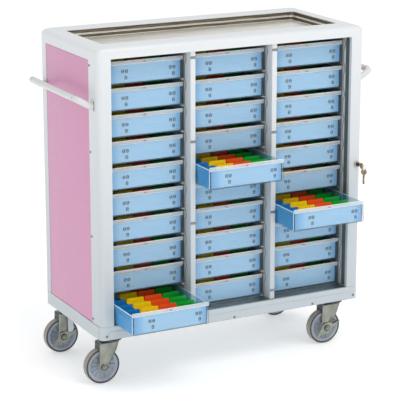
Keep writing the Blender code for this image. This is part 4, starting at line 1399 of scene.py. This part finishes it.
def lock_plug(bm):
    skin(bm, turned([(0.0064, -0.0001), (0.0064, -0.0044), (0.0056, -0.0050)], "Y", 32))


def key_shape(bm, bow_centre, eye, blade_end, thick, cuts):
    """A flat key in the YZ plane: a round bow with an eye, and a blade with notches. The blade runs along +Y."""
    outer = arc(bow_centre, 0.0112, 0, 348, 29)
    inner = arc(eye, 0.0030, 0, 348, 29)
    half = thick / 2
    loops = [at_side(outer, -half), at_side(outer, half), at_side(inner, half), at_side(inner, -half)]
    skin(bm, loops, closed=True)
    start = bow_centre[0] + 0.0104
    low, high = bow_centre[1] - 0.0038, bow_centre[1] + 0.0038
    outline = [(start, low), (start + 0.004, low)]
    notch = (blade_end - start - 0.006) / max(cuts, 1)
    for i in range(cuts):
        y = start + 0.005 + i * notch
        depth = 0.0011 + 0.0007 * ((i * 2) % 3)
        outline += [(y, low), (y + notch * 0.35, low + depth), (y + notch * 0.6, low + depth),
                    (y + notch * 0.95, low)]
    outline += [(blade_end - 0.002, low), (blade_end, (low + high) / 2), (blade_end - 0.002, high),
                (start, high)]
    skin(bm, [at_side(outline, -half * 0.9), at_side(outline, half * 0.9)])


add_piece("lock_flange", mesh_of("lock_flange", lock_face), [nickel], "lock", ["lock_barrel"],
          LOCK)
add_piece("lock_plug", mesh_of("lock_plug", lock_plug), [black_steel], "lock", (), LOCK)
first_key = mesh_of("key_in_lock", lambda bm: key_shape(bm, (-0.0310, 0), (-EYE_OUT, 0), -0.0048, 0.0020, 2))
add_piece("key_in_lock", first_key, [brass], "lock", ["key"], LOCK, 0.0003)

RING_RADIUS = 0.0085
RING_SLANT = RING_RADIUS * math.sqrt(0.5)
ring_centre = LOCK + Vector((RING_SLANT, -EYE_OUT, -RING_SLANT))
ring_route = [ring_centre + Vector((RING_RADIUS * math.cos(a), 0, RING_RADIUS * math.sin(a)))
              for a in (2 * math.pi * i / 36 for i in range(36))]


def key_ring(bm):
    loops = []
    wire = 0.0009
    for point in ring_route:
        out = (point - ring_centre).normalized()
        loops.append([tuple(point + out * wire * math.cos(b) + Vector((0, 1, 0)) * wire * math.sin(b))
                      for b in (2 * math.pi * k / 8 for k in range(8))])
    skin(bm, loops, closed=True)


add_piece("split_ring", mesh_of("split_ring", key_ring), [nickel], "cart")
spare = add_piece("spare_key",
                  mesh_of("spare_key", lambda bm: key_shape(bm, (0.0075, 0), (0.0, 0), 0.0520, 0.0018, 4)),
                  [brass], "cart")
spare_place = ring_centre + Vector((0, 0, -RING_RADIUS + 0.0012))
spare.parent = None
spare.location = spare_place
spare.rotation_euler = (-math.pi / 2, 0, math.radians(35))
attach(spare, "cart")
print("lock, key, ring and spare key")

# %% [markdown]
# ## Screws
# Pan head screws hold the side sheets to the posts and the strip to the base, and small clips hold the two
# mid posts. They are turned once and set down along rows whose heights divide the posts evenly, as a
# template in a sheet metal shop would place them.

# %% Screws and clips
def screw(bm):
    skin(bm, turned([(0.0045, 0.0), (0.0045, -0.0006), (0.0036, -0.0016), (0.0018, -0.0020)], "Y", 20),
         finish=0)
    for low, high in (((-0.0026, -0.0021, -0.0005), (0.0026, -0.0012, 0.0005)),
                      ((-0.0005, -0.0021, -0.0026), (0.0005, -0.0012, 0.0026))):
        box(bm, low, high, 1)


screw_shape = mesh_of("pan_head_screw", screw)
for finish in (grey_steel, black_steel):
    screw_shape.materials.append(finish)


def set_screw(name, place, facing):
    """Place a screw whose head looks along facing, a turn about the upright axis in degrees from the front."""
    piece = bpy.data.objects.new(name, screw_shape)
    piece.location = place
    piece.rotation_euler = (0, 0, math.radians(facing))
    scene.collection.objects.link(piece)
    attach(piece, "cart")


SCREW_ROWS = 4
count = 0
for row in range(SCREW_ROWS):
    z = BASE_TOP + 0.0155 + row * (RIM_BOTTOM - BASE_TOP - 0.032) / (SCREW_ROWS - 1)
    for side, facing in ((-1, -90), (1, 90)):
        set_screw("side_screw_%02d" % count, (side * HALF_WIDTH, FRONT + FRONT_POST_DEPTH - 0.009, z), facing)
        count += 1
strip_z = BASE_UNDERSIDE + 0.0075
for x in (-0.487, -0.316, 0.0, 0.316, 0.487):
    proud = 0.0 if abs(x) > 0.4 else PROUD
    z = strip_z + (0.007 if abs(x) > 0.4 else 0.0)
    set_screw("strip_screw_%02d" % count, (x, FRONT - proud, z), 0)
    count += 1
print(count, "screws")

CLIP_HEIGHTS = (0.250, 0.535, 0.819, 1.105)


def clip(bm):
    """A little spring clip round the front of a mid post: a plate with a screw dome."""
    half = (middle_high.x - middle_low.x) / 2 + 0.0006
    plate = rounded_rectangle(-half, -0.0045, half, 0.0045, 0.0015, 3)
    skin(bm, [at_depth(plate, -0.0010), at_depth(plate, 0.0002)])
    skin(bm, turned([(0.0030, -0.0008), (0.0030, -0.0016), (0.0018, -0.0024)], "Y", 16))


clip_shape = mesh_of("mid_post_clip", clip)
for node in ("left_mid_post", "right_mid_post"):
    low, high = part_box(node)
    for order, z in enumerate(CLIP_HEIGHTS):
        place = ((low.x + high.x) / 2, low.y, z)
        add_piece("%s_clip_%d" % (node, order), clip_shape, [grey_steel], "cart", (), place,
                  0.0003)
print(2 * len(CLIP_HEIGHTS), "clips")
